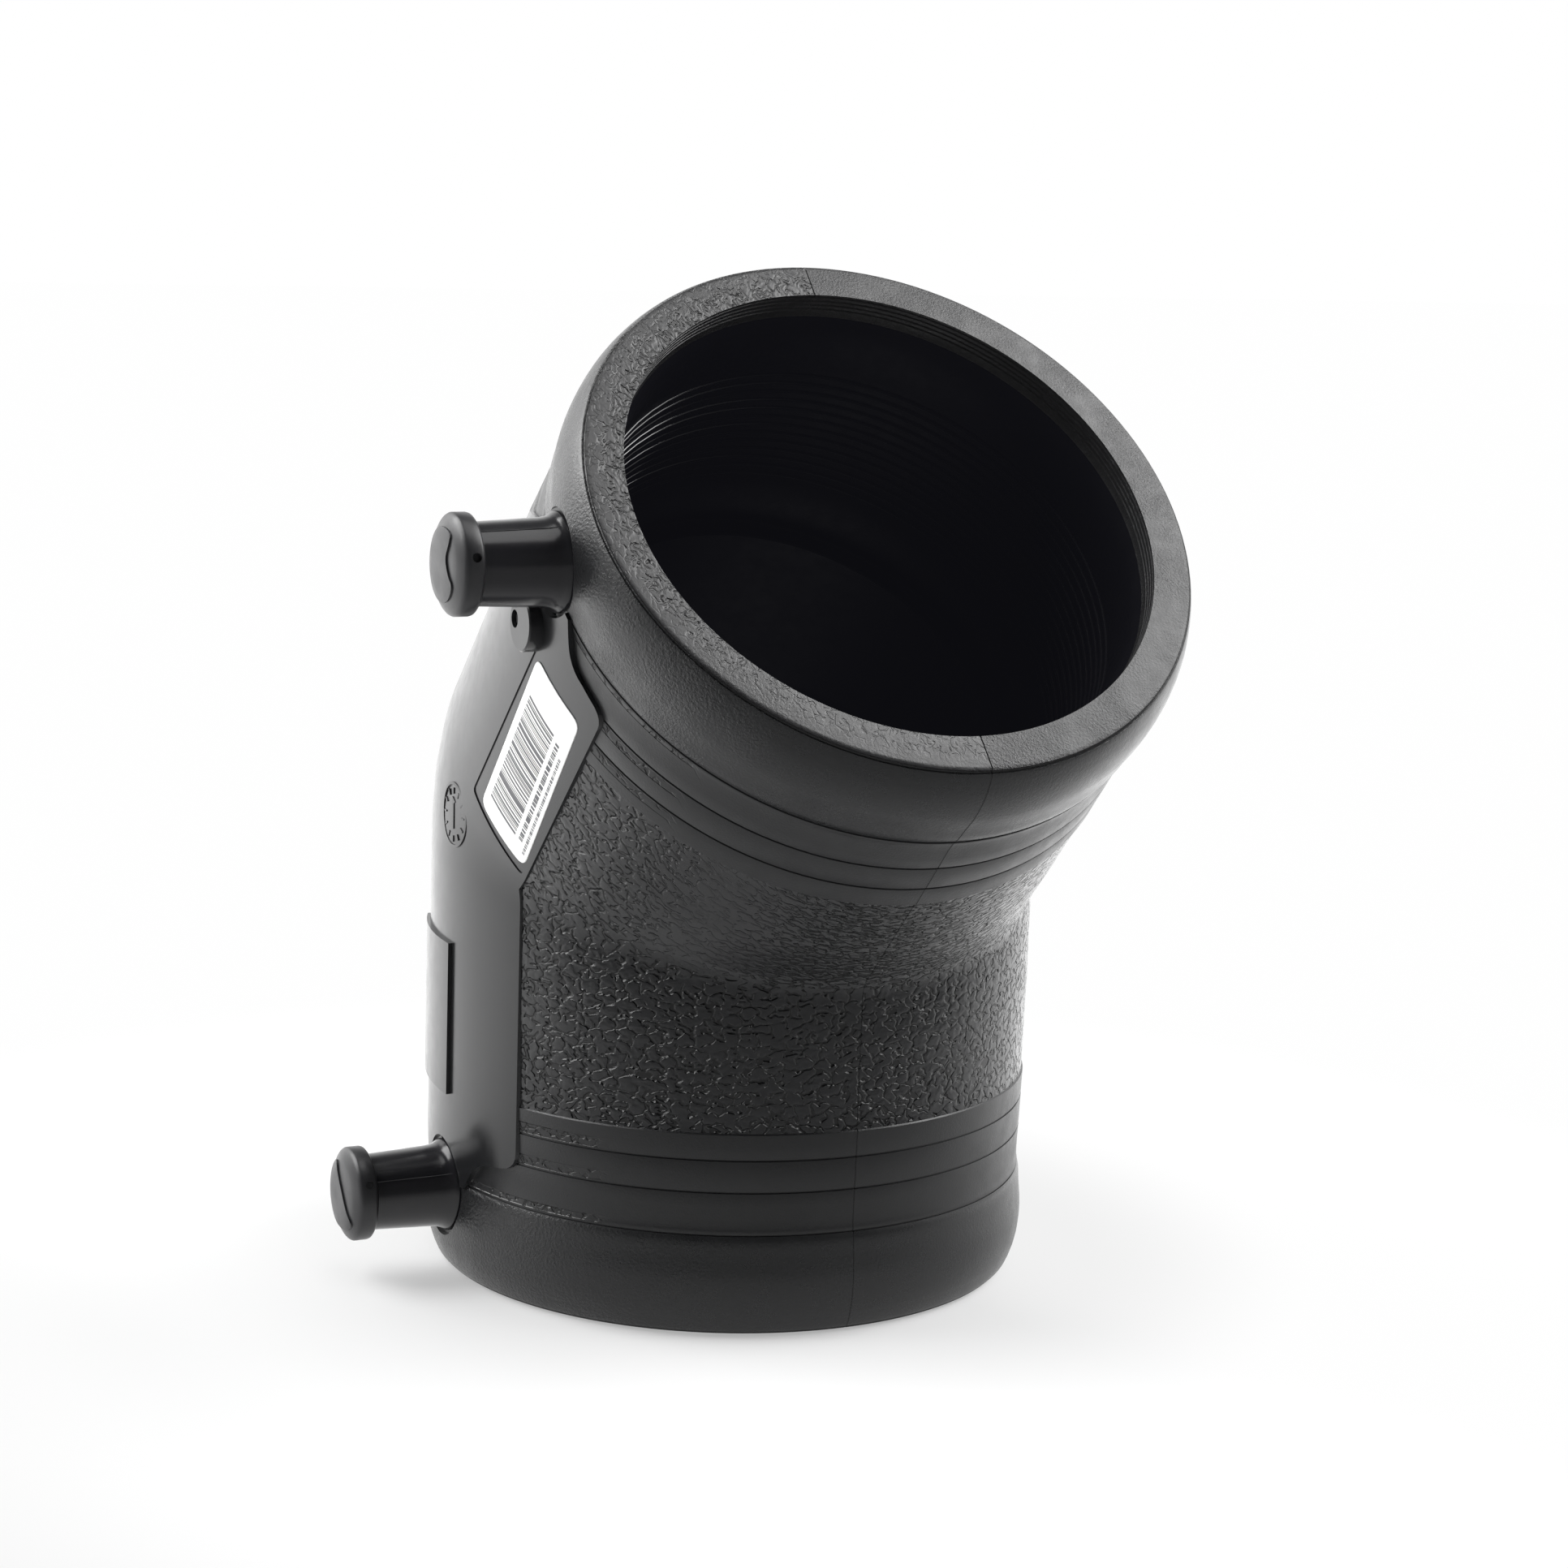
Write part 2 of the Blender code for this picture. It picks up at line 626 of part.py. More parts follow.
def make_heating_coil():
    """One resistance wire: a winding in each socket and the link between them round the bend."""
    side = -math.sqrt(WINDING_RADIUS ** 2 - TERMINAL_ACROSS ** 2)
    bend_x, bend_z = leg_place("lower", TERMINAL_ACROSS, mitre_depth(TERMINAL_ACROSS))
    points = wire_half("lower") + [(bend_x, side, bend_z)] + list(reversed(wire_half("upper")))
    curve = bpy.data.curves.new("heating_coil", "CURVE")
    curve.dimensions = "3D"
    curve.bevel_depth = WIRE_RADIUS
    curve.bevel_resolution = 0
    curve.use_fill_caps = True
    spline = curve.splines.new("POLY")
    spline.points.add(len(points) - 1)
    for point, place in zip(spline.points, points):
        point.co = (*place, 1.0)
    return add_object("heating_coil", curve, parts)


def make_pin(leg):
    """Contact pin: a foot towards the wire, a collar on the floor of the seat and a rounded tip."""
    floor = SEAT_HEIGHT + GAP
    collar_top = floor + PIN_COLLAR_HEIGHT
    foot = floor - PIN_COLLAR_HEIGHT * 2
    tip = foot + PIN_LENGTH
    profile = [(0.0, tip), (PIN_TIP_RADIUS, tip), (PIN_RADIUS, tip - PIN_TIP_ROUND),
               (PIN_RADIUS, collar_top), (PIN_COLLAR_RADIUS, collar_top), (PIN_COLLAR_RADIUS, floor),
               (PIN_RADIUS, floor), (PIN_RADIUS, foot), (0.0, foot)]
    pin = turned("terminal_pin_" + leg, profile, STEPS_AROUND_PIN)
    return stand_on_side(pin, leg, TERMINAL_ACROSS, TERMINAL_DEPTH)


def make_shroud(leg):
    """Sleeve round the pin: a spigot in the body, a floor above the pin's collar, a tapered wall."""
    spigot_radius = SEAT_RADIUS - GAP
    spigot_foot = SEAT_HEIGHT + GAP + PIN_COLLAR_HEIGHT + GAP
    floor = SHROUD_HEIGHT + SHROUD_FLOOR
    pin_hole = PIN_RADIUS + GAP
    lead_in = GAP
    profile = [(SHROUD_TIP_RADIUS, SHROUD_TIP_HEIGHT), (SHROUD_BASE_RADIUS, SHROUD_HEIGHT),
               (spigot_radius, SHROUD_HEIGHT), (spigot_radius, spigot_foot),
               (pin_hole, spigot_foot), (pin_hole, floor), (SHROUD_BORE_RADIUS, floor),
               (SHROUD_BORE_RADIUS, SHROUD_TIP_HEIGHT - lead_in),
               (SHROUD_BORE_RADIUS + lead_in, SHROUD_TIP_HEIGHT)]
    shroud = turned("terminal_shroud_" + leg, profile, STEPS_AROUND_TERMINAL, closed=True)
    return stand_on_side(shroud, leg, TERMINAL_ACROSS, TERMINAL_DEPTH)


def make_cap(leg):
    """Dust cap: a thick disc with a domed face, and a hollow plug that fits round the pin."""
    rear = SHROUD_TIP_HEIGHT + GAP
    rim = rear + CAP_RIM_HEIGHT
    face = rim + CAP_DOME_HEIGHT
    plug_outer = SHROUD_BORE_RADIUS - GAP
    plug_inner = plug_outer - CAP_PLUG_WALL
    plug_foot = rear - CAP_PLUG_LENGTH
    profile = [(0.0, face)]
    for across, up in CAP_FACE_SHARES:
        profile.append((CAP_RADIUS * across, rim + CAP_DOME_HEIGHT * up))
    profile += [(CAP_RADIUS, rim - CAP_EDGE_ROUND), (CAP_RADIUS, rear + CAP_EDGE_ROUND),
                (CAP_RADIUS - CAP_EDGE_ROUND, rear), (plug_outer, rear), (plug_outer, plug_foot),
                (plug_inner, plug_foot), (plug_inner, rear), (0.0, rear)]
    cap = turned("terminal_cap_" + leg, profile, STEPS_AROUND_TERMINAL)
    return stand_on_side(cap, leg, TERMINAL_ACROSS, TERMINAL_DEPTH)


def paint(piece, name, color, roughness, metallic=0.0):
    """Gives a piece a Principled material of its own."""
    material = bpy.data.materials.new(name)
    material.use_nodes = True
    shader = material.node_tree.nodes["Principled BSDF"]
    shader.inputs["Base Color"].default_value = (*color, 1.0)
    shader.inputs["Roughness"].default_value = roughness
    shader.inputs["Metallic"].default_value = metallic
    piece.data.materials.clear()
    piece.data.materials.append(material)


def finish(piece):
    """Turns a part into a plain mesh, smooth over its round faces and sharp at its edges."""
    bpy.context.view_layer.update()
    if piece.type == "CURVE":
        mesh = evaluated_copy(piece)
        weld_mesh(mesh)
        solid = add_object("finished", mesh, parts)
        solid.matrix_world = piece.matrix_world.copy()
        name = piece.name
        bpy.data.objects.remove(piece)
        solid.name = name
        piece = solid
    else:
        apply_modifiers(piece)
    piece.data.shade_smooth()
    piece.data.set_sharp_from_angle(angle=SHARP_ANGLE)
    return piece


def rest_on_origin(pieces):
    """Moves the elbow's frame so that the middle of the part's footprint is the origin."""
    bpy.context.view_layer.update()
    corners = [piece.matrix_world @ vertex.co for piece in pieces for vertex in piece.data.vertices]
    lowest = [min(corner[axis] for corner in corners) for axis in range(3)]
    highest = [max(corner[axis] for corner in corners) for axis in range(3)]
    frame.location = (-(lowest[0] + highest[0]) / 2, -(lowest[1] + highest[1]) / 2, -lowest[2])


LEGS = ("lower", "upper")
POLYETHYLENE = (0.030, 0.031, 0.034)
GLOSSY_BLACK = (0.018, 0.018, 0.021)
CAP_BLACK = (0.035, 0.035, 0.038)
WIRE_SKIN = (0.020, 0.020, 0.022)
PIN_METAL = (0.72, 0.62, 0.38)
LABEL_WHITE = (0.88, 0.88, 0.87)

clear_scene()
parts = new_collection(OBJECT_NAME)
tools = new_collection(OBJECT_NAME + "_tools")
frame = bpy.data.objects.new("elbow_frame", None)
parts.objects.link(frame)

bend_plane = bpy.data.objects.new("bend_plane", None)
parts.objects.link(bend_plane)
bend_plane.parent = frame
bend_plane.location = (0.0, 0.0, LEG_LENGTH)
bend_plane.rotation_euler = (0.0, HALF_BEND, 0.0)
bpy.context.view_layer.update()

elbow_body = finish(make_body())
paint(elbow_body, "moulded polyethylene", POLYETHYLENE, 0.5)
coil = finish(make_heating_coil())
paint(coil, "wire under polyethylene", WIRE_SKIN, 0.2)
indicator = finish(make_indicator())
paint(indicator, "indicator polyethylene", POLYETHYLENE, 0.5)
label = finish(make_label())
paint(label, "label film", LABEL_WHITE, 0.4)
elbow = [elbow_body, coil, indicator, label]
for leg_name in LEGS:
    pin = finish(make_pin(leg_name))
    paint(pin, "contact brass " + leg_name, PIN_METAL, 0.3, 1.0)
    shroud = finish(make_shroud(leg_name))
    paint(shroud, "glossy sleeve " + leg_name, GLOSSY_BLACK, 0.2)
    cap = finish(make_cap(leg_name))
    paint(cap, "cap polyethylene " + leg_name, CAP_BLACK, 0.45)
    elbow += [pin, shroud, cap]
rest_on_origin(elbow)
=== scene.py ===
# %% [markdown]
# # An electrofusion elbow
# This lesson dresses a plain solid model of a black plastic pipe elbow so that it looks like the
# real moulding. The solid model is loaded as a fixed frame: every size is in metres, the elbow
# stands on the floor at the origin, and each new piece takes the place of a plain one.

# %% Load the frame
import math

import bmesh
import bpy
from mathutils import Matrix, Vector, noise


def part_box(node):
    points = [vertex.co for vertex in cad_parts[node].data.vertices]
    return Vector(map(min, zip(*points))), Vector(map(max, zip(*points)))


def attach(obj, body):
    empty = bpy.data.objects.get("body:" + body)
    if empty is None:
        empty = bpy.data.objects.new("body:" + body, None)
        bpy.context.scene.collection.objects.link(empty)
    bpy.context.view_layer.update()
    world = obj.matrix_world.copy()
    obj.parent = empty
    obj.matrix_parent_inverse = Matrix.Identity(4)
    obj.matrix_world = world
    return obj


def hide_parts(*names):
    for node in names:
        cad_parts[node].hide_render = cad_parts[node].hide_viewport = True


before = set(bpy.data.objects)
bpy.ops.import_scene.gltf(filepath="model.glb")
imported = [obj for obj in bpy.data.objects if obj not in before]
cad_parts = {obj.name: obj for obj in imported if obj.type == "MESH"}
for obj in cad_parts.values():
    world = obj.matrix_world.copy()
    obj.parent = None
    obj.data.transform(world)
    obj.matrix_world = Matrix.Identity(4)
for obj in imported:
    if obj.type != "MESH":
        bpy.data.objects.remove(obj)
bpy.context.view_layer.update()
print("frame holds", len(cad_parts), "nodes")

# %% [markdown]
# ## Where the elbow is
# The two legs are alike: the upper one is the lower one seen in a mirror that cuts the bend in
# half. So each place is written once, as a distance across the leg and a depth from its end face,
# and one matrix carries it to the upper leg. The lower leg's axis is read from the frame.

# %% Places on the legs
MM = 0.001
LEG_MM = 83.6
STRAIGHT_MM = 50.16
LEG_LENGTH = LEG_MM * MM
STRAIGHT_END = STRAIGHT_MM * MM
HALF_BEND = math.radians(22.5)
CROWN_RADIUS = 54.85 * MM

body_low, body_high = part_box("body")
AXIS = Vector((body_low.x + CROWN_RADIUS, body_high.y - CROWN_RADIUS, 0.0))
TO_LOWER = Matrix.Translation(AXIS)
bend_middle = Matrix.Translation((0.0, 0.0, LEG_LENGTH))
turned_plane = Matrix.Rotation(HALF_BEND, 4, "Y")
flip = Matrix.Scale(-1.0, 4, (0.0, 0.0, 1.0))
MIRROR = bend_middle @ turned_plane @ flip @ turned_plane.inverted() @ bend_middle.inverted()
LEGS = {"lower": TO_LOWER, "upper": TO_LOWER @ MIRROR}
print("lower axis at", [round(value / MM, 2) for value in AXIS])

# %% [markdown]
# ## Camera
# The photograph looks a little down on the elbow, from the side of the crotch and terminals. The
# place and turn of the camera were solved from the two round rims, so they are written as numbers.

# %% Camera
camera_data = bpy.data.cameras.new("camera")
camera_data.lens = 78.2339
camera_data.sensor_width = 36.0
camera_data.sensor_fit = "HORIZONTAL"
camera = bpy.data.objects.new("camera", camera_data)
bpy.context.scene.collection.objects.link(camera)
right = Vector((0.42287682, 0.90561766, 0.03212247))
up = Vector((-0.17809827, 0.04830163, 0.98282652))
back = right.cross(up)
camera_turn = Matrix((right, up, back)).transposed().to_4x4()
camera.matrix_world = Matrix.Translation((0.532556, -0.243126, 0.198612)) @ camera_turn
bpy.context.scene.camera = camera
print("camera is", round(camera.location.length, 3), "m from the origin")

# %% [markdown]
# ## Turned pieces
# Most pieces of a pipe fitting are round: the wall, the sleeves, the caps and the pins. Each could
# be pushed and pulled out of a cylinder, but a profile that is spun about Z keeps every radius
# true. The profile is a list of radii and heights in millimetres.

# %% Lathe
TINY = 0.002 * MM


def lathe(points, steps, closed=False, angle=math.tau, start=0.0):
    """Spins a profile about Z, and merges the seam where the turn is a full one."""
    mesh = bmesh.new()
    turn = Matrix.Rotation(start, 3, "Z")
    places = [Vector((radius * MM, 0.0, height * MM)) for radius, height in points]
    corners = [mesh.verts.new(turn @ place) for place in places]
    rim = [mesh.edges.new(pair) for pair in zip(corners, corners[1:])]
    if closed:
        rim.append(mesh.edges.new((corners[-1], corners[0])))
    bmesh.ops.spin(mesh, geom=corners + rim, cent=(0, 0, 0), axis=(0, 0, 1), angle=angle,
                   steps=steps, use_merge=angle == math.tau)
    bmesh.ops.remove_doubles(mesh, verts=mesh.verts, dist=TINY)
    bmesh.ops.recalc_face_normals(mesh, faces=mesh.faces)
    return mesh


# %% [markdown]
# ## Outlines cut into a skin
# The pad, the plate and the sticker have outlines of straight sides, but lie on a round wall. A
# Boolean with a block of that outline would leave long thin faces. Here each side is cut as a
# plane through the few faces that it crosses, and the faces inside the outline are picked after.
# The faces are kept in lists and not in sets, so that each run works on them in the same order.

# %% Cut an outline
def cut_plane(mesh, faces, place, normal):
    """Cuts a plane through the given faces and returns all that they then consist of."""
    geom = list(faces)
    geom += dict.fromkeys(edge for face in faces for edge in face.edges)
    geom += dict.fromkeys(vert for face in faces for vert in face.verts)
    cut = bmesh.ops.bisect_plane(mesh, geom=geom, dist=TINY, plane_co=place, plane_no=normal)
    return cut["geom"]


def sides_of(outline):
    """Pairs each corner of an outline with the next one."""
    return list(zip(outline, outline[1:] + outline[:1]))


def inside(outline, x, z):
    """Tells whether a place lies inside an outline, by counting the sides to its right."""
    hit = False
    for (x0, z0), (x1, z1) in sides_of(outline):
        if (z0 > z) != (z1 > z) and x < (x1 - x0) * (z - z0) / (z1 - z0) + x0:
            hit = not hit
    return hit


def carve_outline(mesh, outline, faces):
    """Cuts an outline in X and Z into the faces along Y and returns the faces inside it."""
    for (x0, z0), (x1, z1) in sides_of(outline):
        along = Vector((x1 - x0, 0.0, z1 - z0))
        side = along.cross(Vector((0.0, 1.0, 0.0))).normalized()
        middle = Vector((x0, 0.0, z0)) + along / 2
        reach = along.length / 2 + 0.1 * MM
        near = []
        for face in faces:
            spans = [(vert.co - middle).dot(along) / along.length for vert in face.verts]
            sides = [(vert.co - middle).dot(side) for vert in face.verts]
            if min(spans) < reach and max(spans) > -reach and min(sides) < 0 < max(sides):
                near.append(face)
        if near:
            made = cut_plane(mesh, near, middle, side)
            new_faces = [item for item in made if isinstance(item, bmesh.types.BMFace)]
            faces = [face for face in dict.fromkeys(faces + new_faces) if face.is_valid]
    found = []
    for face in faces:
        centre = face.calc_center_median()
        if inside(outline, centre.x, centre.z):
            found.append(face)
    return found


# %% [markdown]
# ## From a mesh to a piece
# Each finished mesh becomes an object that rides on the part's only body and takes the place of
# one plain solid. What belongs to a leg is drawn on the plain lower leg and carried to its place
# in the mesh itself, so that every object stays at the origin. A mirror turns a shape inside out,
# so its faces are turned back.

# %% Make a piece
def add_piece(name, mesh, skins, stands_for, sharp=35.0):
    """Makes the object, gives it its skins and ties it to the frame."""
    data = bpy.data.meshes.new(name)
    mesh.to_mesh(data)
    mesh.free()
    piece = bpy.data.objects.new(name, data)
    bpy.context.scene.collection.objects.link(piece)
    for skin in skins:
        data.materials.append(skin)
    data.shade_smooth()
    data.set_sharp_from_angle(angle=math.radians(sharp))
    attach(piece, "root")
    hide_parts(stands_for)
    print(name, len(data.polygons), "faces")


def mirror_mesh(mesh):
    """Carries a mesh from the plain leg to the mirrored one."""
    bmesh.ops.transform(mesh, matrix=MIRROR, verts=mesh.verts)
    bmesh.ops.reverse_faces(mesh, faces=mesh.faces)


def to_leg(mesh, leg):
    """Carries a piece from its place on the plain leg to a leg of the elbow."""
    bmesh.ops.transform(mesh, matrix=LEGS[leg], verts=mesh.verts)
    if leg == "upper":
        bmesh.ops.reverse_faces(mesh, faces=mesh.faces)
    return mesh


def stand_out(mesh, across, depth):
    """Turns a piece from +Z to stand out on the -Y side, at a place on the plain leg."""
    quarter = Matrix.Rotation(math.pi / 2, 3, "X")
    bmesh.ops.rotate(mesh, cent=(0, 0, 0), matrix=quarter, verts=mesh.verts)
    bmesh.ops.translate(mesh, vec=(across, 0.0, depth), verts=mesh.verts)
    return mesh


# %% [markdown]
# ## Finishes
# The elbow is one grade of black polyethylene. What changes over it is the mould: etched leather
# grain, fine sand on the collars, and polished steel on the pad. What several finishes share is
# built once as a node group, and each finish then places it with a scale and depth of its own.
# Two short functions start a group and add a node, so that each node takes one statement.

# %% Groups and nodes
FLOAT = "NodeSocketFloat"


def new_group(name, inputs, outputs):
    """Starts a node group with float sockets and returns it with its two ends."""
    group = bpy.data.node_groups.new(name, "ShaderNodeTree")
    for label, value in inputs.items():
        socket = group.interface.new_socket(label, in_out="INPUT", socket_type=FLOAT)
        socket.default_value = value
    for label in outputs:
        group.interface.new_socket(label, in_out="OUTPUT", socket_type=FLOAT)
    return group, group.nodes.new("NodeGroupInput"), group.nodes.new("NodeGroupOutput")


def node(tree, kind, links=None, **settings):
    """Adds a node, sets its settings, and links or sets its inputs."""
    added = tree.nodes.new(kind)
    for key, value in settings.items():
        setattr(added, key, value)
    for key, value in (links or {}).items():
        if isinstance(value, bpy.types.NodeSocket):
            tree.links.new(value, added.inputs[key])
        else:
            added.inputs[key].default_value = value
    return added


# %% [markdown]
# Most nodes of a finish only work on numbers. These functions wrap the few kinds that are used:
# arithmetic, a smooth ramp, a band between two limits, and noise.

# %% Numbers and masks
def math_node(tree, operation, first, second, third=0.0):
    """Adds one step of arithmetic; only MULTIPLY_ADD has a use for the third value."""
    added = node(tree, "ShaderNodeMath", {0: first, 1: second}, operation=operation)
    if operation == "MULTIPLY_ADD":
        added.inputs[2].default_value = third
    return added.outputs[0]


def dot_product(tree, place, direction):
    """How far a place lies along a direction."""
    added = node(tree, "ShaderNodeVectorMath", {0: place, 1: direction}, operation="DOT_PRODUCT")
    return added.outputs["Value"]


def ramp(tree, value, low, high, to_low=0.0, to_high=1.0):
    """Smoothly carries one range of a value to another."""
    added = node(tree, "ShaderNodeMapRange", {"Value": value, "From Min": low, "From Max": high,
                                              "To Min": to_low, "To Max": to_high},
                 interpolation_type="SMOOTHSTEP")
    return added.outputs["Result"]


def band_mask(tree, value, low, high, soft=0.05):
    """One between two limits and zero outside, with soft edges."""
    rise = ramp(tree, value, low - soft, low + soft)
    fall = ramp(tree, value, high - soft, high + soft, 1.0, 0.0)
    return math_node(tree, "MULTIPLY", rise, fall)


def texture_noise(tree, place, scale, detail=2.0, rough=0.5):
    """Cloudy noise in space, from zero to one."""
    return node(tree, "ShaderNodeTexNoise", {"Vector": place, "Scale": scale, "Detail": detail,
                                             "Roughness": rough}).outputs["Fac"]


# %% [markdown]
# ### Leather grain
# The grain is a net of fine valleys round smooth islands of one to three millimetres. An image
# could be wrapped round the wall, but noise has no seam and no end. Cell edges give the net, a
# warp makes the islands uneven, and a slow noise breaks the net up, because on the real mould many
# valleys fade out before they meet. It reads a map of the unrolled wall, made further down.

# %% Leather grain group
GRAIN_STRETCH = (0.86, 1.16, 1.0)
GRAIN_SCALE = 0.44
WARP_MM = 3.0


def skin_map(tree):
    """The place on the unrolled wall in millimetres: round the leg, and deep from the rim."""
    return node(tree, "ShaderNodeUVMap", uv_map="skin").outputs["UV"]


leather, leather_in, leather_out = new_group(
    "leather grain", {"Scale": GRAIN_SCALE, "Strength": 1.0}, ["Height", "Valley"])
strength = leather_in.outputs["Strength"]
place = node(leather, "ShaderNodeVectorMath", {0: skin_map(leather), 1: GRAIN_STRETCH},
             operation="MULTIPLY").outputs[0]
warp = node(leather, "ShaderNodeTexNoise", {"Vector": place, "Scale": 0.47, "Detail": 1.0},
            noise_dimensions="2D")
centred = node(leather, "ShaderNodeVectorMath", {0: warp.outputs["Color"], 1: (0.5, 0.5, 0.5)},
               operation="SUBTRACT")
swing = node(leather, "ShaderNodeVectorMath", {0: centred.outputs[0], "Scale": WARP_MM},
             operation="SCALE")
bent_place = node(leather, "ShaderNodeVectorMath", {0: place, 1: swing.outputs[0]},
                  operation="ADD")
cells = node(leather, "ShaderNodeTexVoronoi",
             {"Vector": bent_place.outputs[0], "Scale": leather_in.outputs["Scale"],
              "Randomness": 0.85},
             feature="DISTANCE_TO_EDGE", voronoi_dimensions="2D")
net = ramp(leather, cells.outputs["Distance"], 0.055, 0.16, 1.0, 0.0)
gaps = node(leather, "ShaderNodeTexNoise", {"Vector": place, "Scale": 0.52, "Detail": 0.0},
            noise_dimensions="2D")
valley = math_node(leather, "MULTIPLY", net, ramp(leather, gaps.outputs["Fac"], 0.33, 0.47))
island = ramp(leather, cells.outputs["Distance"], 0.05, 0.50, 0.0, 0.10)
height = math_node(leather, "SUBTRACT", island, valley)
leather.links.new(math_node(leather, "MULTIPLY", height, strength), leather_out.inputs["Height"])
leather.links.new(math_node(leather, "MULTIPLY", valley, strength), leather_out.inputs["Valley"])
print("leather grain group has", len(leather.nodes), "nodes")

# %% [markdown]
# ### Sanded skin
# The collars are lightly sand-blasted: tiny grains that only show as a speckle in the highlights.
# The grains are fine noise, and a slower noise makes the blasting stronger in some places.

# %% Sanded skin group
SAND_SCALE = 2600.0

sand, sand_in, sand_out = new_group(
    "sanded skin", {"Scale": SAND_SCALE, "Strength": 1.0}, ["Height"])
place = node(sand, "ShaderNodeTexCoord").outputs["Object"]
fine = texture_noise(sand, place, sand_in.outputs["Scale"], 3.0, 0.6)
patch = ramp(sand, texture_noise(sand, place, 90.0), 0.35, 0.65, 0.4, 1.0)
blasted = math_node(sand, "MULTIPLY", patch, sand_in.outputs["Strength"])
sand.links.new(math_node(sand, "MULTIPLY", fine, blasted), sand_out.inputs["Height"])
print("sanded skin group has", len(sand.nodes), "nodes")

# %% [markdown]
# ### Handled surface
# No moulding keeps one tone and one gloss all over. A slow cloud changes the tone, and a finer
# one changes the gloss, as handling and dust do. Every finish uses both, so they are a group too.

# %% Handled surface group
handled, handled_in, handled_out = new_group(
    "handled surface", {"Cloud Scale": 60.0, "Rub Scale": 260.0}, ["Cloud", "Rub"])
place = node(handled, "ShaderNodeTexCoord").outputs["Object"]
cloud = texture_noise(handled, place, handled_in.outputs["Cloud Scale"], 4.0, 0.6)
rub = texture_noise(handled, place, handled_in.outputs["Rub Scale"], 5.0, 0.7)
handled.links.new(cloud, handled_out.inputs["Cloud"])
handled.links.new(ramp(handled, rub, 0.3, 0.7), handled_out.inputs["Rub"])
print("handled surface group has", len(handled.nodes), "nodes")

# %% [markdown]
# ### One maker for all finishes
# Each finish starts from its own colour with the slow change of tone and gloss, and adds its grain
# through Bump nodes. Black plastic shows its skin almost only in the reflections, so the roughness
# and the bump do more here than the colour. In the leather's valleys the colour is darkened as
# painted shade, and the plastic is rougher, because no polish reaches them.

# %% Finish maker
GLOSS_SWING = 0.13
VALLEY_SHADE_AND_ROUGH_SHARE = 0.68
VALLEY_PAINTED_SHADE = (0.002, 0.002, 0.002, 1.0)
VALLEY_ROUGHNESS = 0.40


def add_bump(tree, height, depth, normal):
    """Adds a height in millimetres on top of a normal and returns the new normal."""
    bump = node(tree, "ShaderNodeBump", {"Height": height, "Distance": depth * MM, "Strength": 1.0})
    if normal:
        tree.links.new(normal, bump.inputs["Normal"])
    return bump.outputs["Normal"]


def make_finish(name, color, rough, leather_depth=0.0, sand_depth=0.0, leather_scale=GRAIN_SCALE,
                sand_scale=SAND_SCALE, tone=0.15, mask=None, step=0.0):
    """Makes a finish with the given depths of grain in millimetres.

    The mask holds back the leather, or the sand where there is no leather. A step sinks the
    masked places by that many millimetres.
    """
    material = bpy.data.materials.new(name)
    material.use_nodes = True
    tree = material.node_tree
    shader = tree.nodes["Principled BSDF"]
    surface = node(tree, "ShaderNodeGroup", node_tree=handled)
    dark = tuple(value * (1.0 - tone) for value in color) + (1.0,)
    pale = tuple(value * (1.0 + tone) for value in color) + (1.0,)
    tone_now = node(tree, "ShaderNodeMix", {"Factor": surface.outputs["Cloud"], "A": dark, "B": pale},
                    data_type="RGBA").outputs["Result"]
    rough_now = math_node(tree, "MULTIPLY_ADD", surface.outputs["Rub"],
                          rough * GLOSS_SWING * 2, rough * (1.0 - GLOSS_SWING))
    normal = None
    share = mask(tree) if mask else None
    if leather_depth:
        grain = node(tree, "ShaderNodeGroup", node_tree=leather)
        grain.inputs["Scale"].default_value = leather_scale
        if share:
            tree.links.new(share, grain.inputs["Strength"])
        normal = add_bump(tree, grain.outputs["Height"], leather_depth, normal)
        # Painted shade: the leather's valleys get a darker colour, and more roughness.
        sunk = math_node(tree, "MULTIPLY", grain.outputs["Valley"], VALLEY_SHADE_AND_ROUGH_SHARE)
        tone_now = node(tree, "ShaderNodeMix", {"Factor": sunk, "A": tone_now, "B": VALLEY_PAINTED_SHADE},
                        data_type="RGBA").outputs["Result"]
        rough_now = node(tree, "ShaderNodeMix",
                         {"Factor": sunk, "A": rough_now, "B": VALLEY_ROUGHNESS}).outputs["Result"]
    if step:
        normal = add_bump(tree, share, -step, normal)
    if sand_depth:
        grit = node(tree, "ShaderNodeGroup", node_tree=sand)
        grit.inputs["Scale"].default_value = sand_scale
        if share and not leather_depth:
            tree.links.new(share, grit.inputs["Strength"])
        normal = add_bump(tree, grit.outputs["Height"], sand_depth, normal)
    tree.links.new(tone_now, shader.inputs["Base Color"])
    tree.links.new(rough_now, shader.inputs["Roughness"])
    if normal:
        tree.links.new(normal, shader.inputs["Normal"])
    return material


# %% [markdown]
# ### Where the grain lies
# On the real elbow the grain isn't even. It is worn on the front of the upper leg, deep on the rim
# beside the bore, and left in narrow strips behind the grooves, close to the pad. The sand is
# strong beside the terminals and faint on the far side. These masks read the unrolled wall. The
# upper leg lies further along that map, so that the two legs don't share one pattern.

# %% Masks on the unrolled wall
UPPER_SHIFT = 200.0
STRIPS = [(18.45, 19.5), (25.95, 27.6), (31.65, 33.4)]


def round_and_deep(tree):
    """The two directions of the unrolled wall."""
    flat = node(tree, "ShaderNodeSeparateXYZ", {0: skin_map(tree)}).outputs
    return flat["X"], flat["Y"]


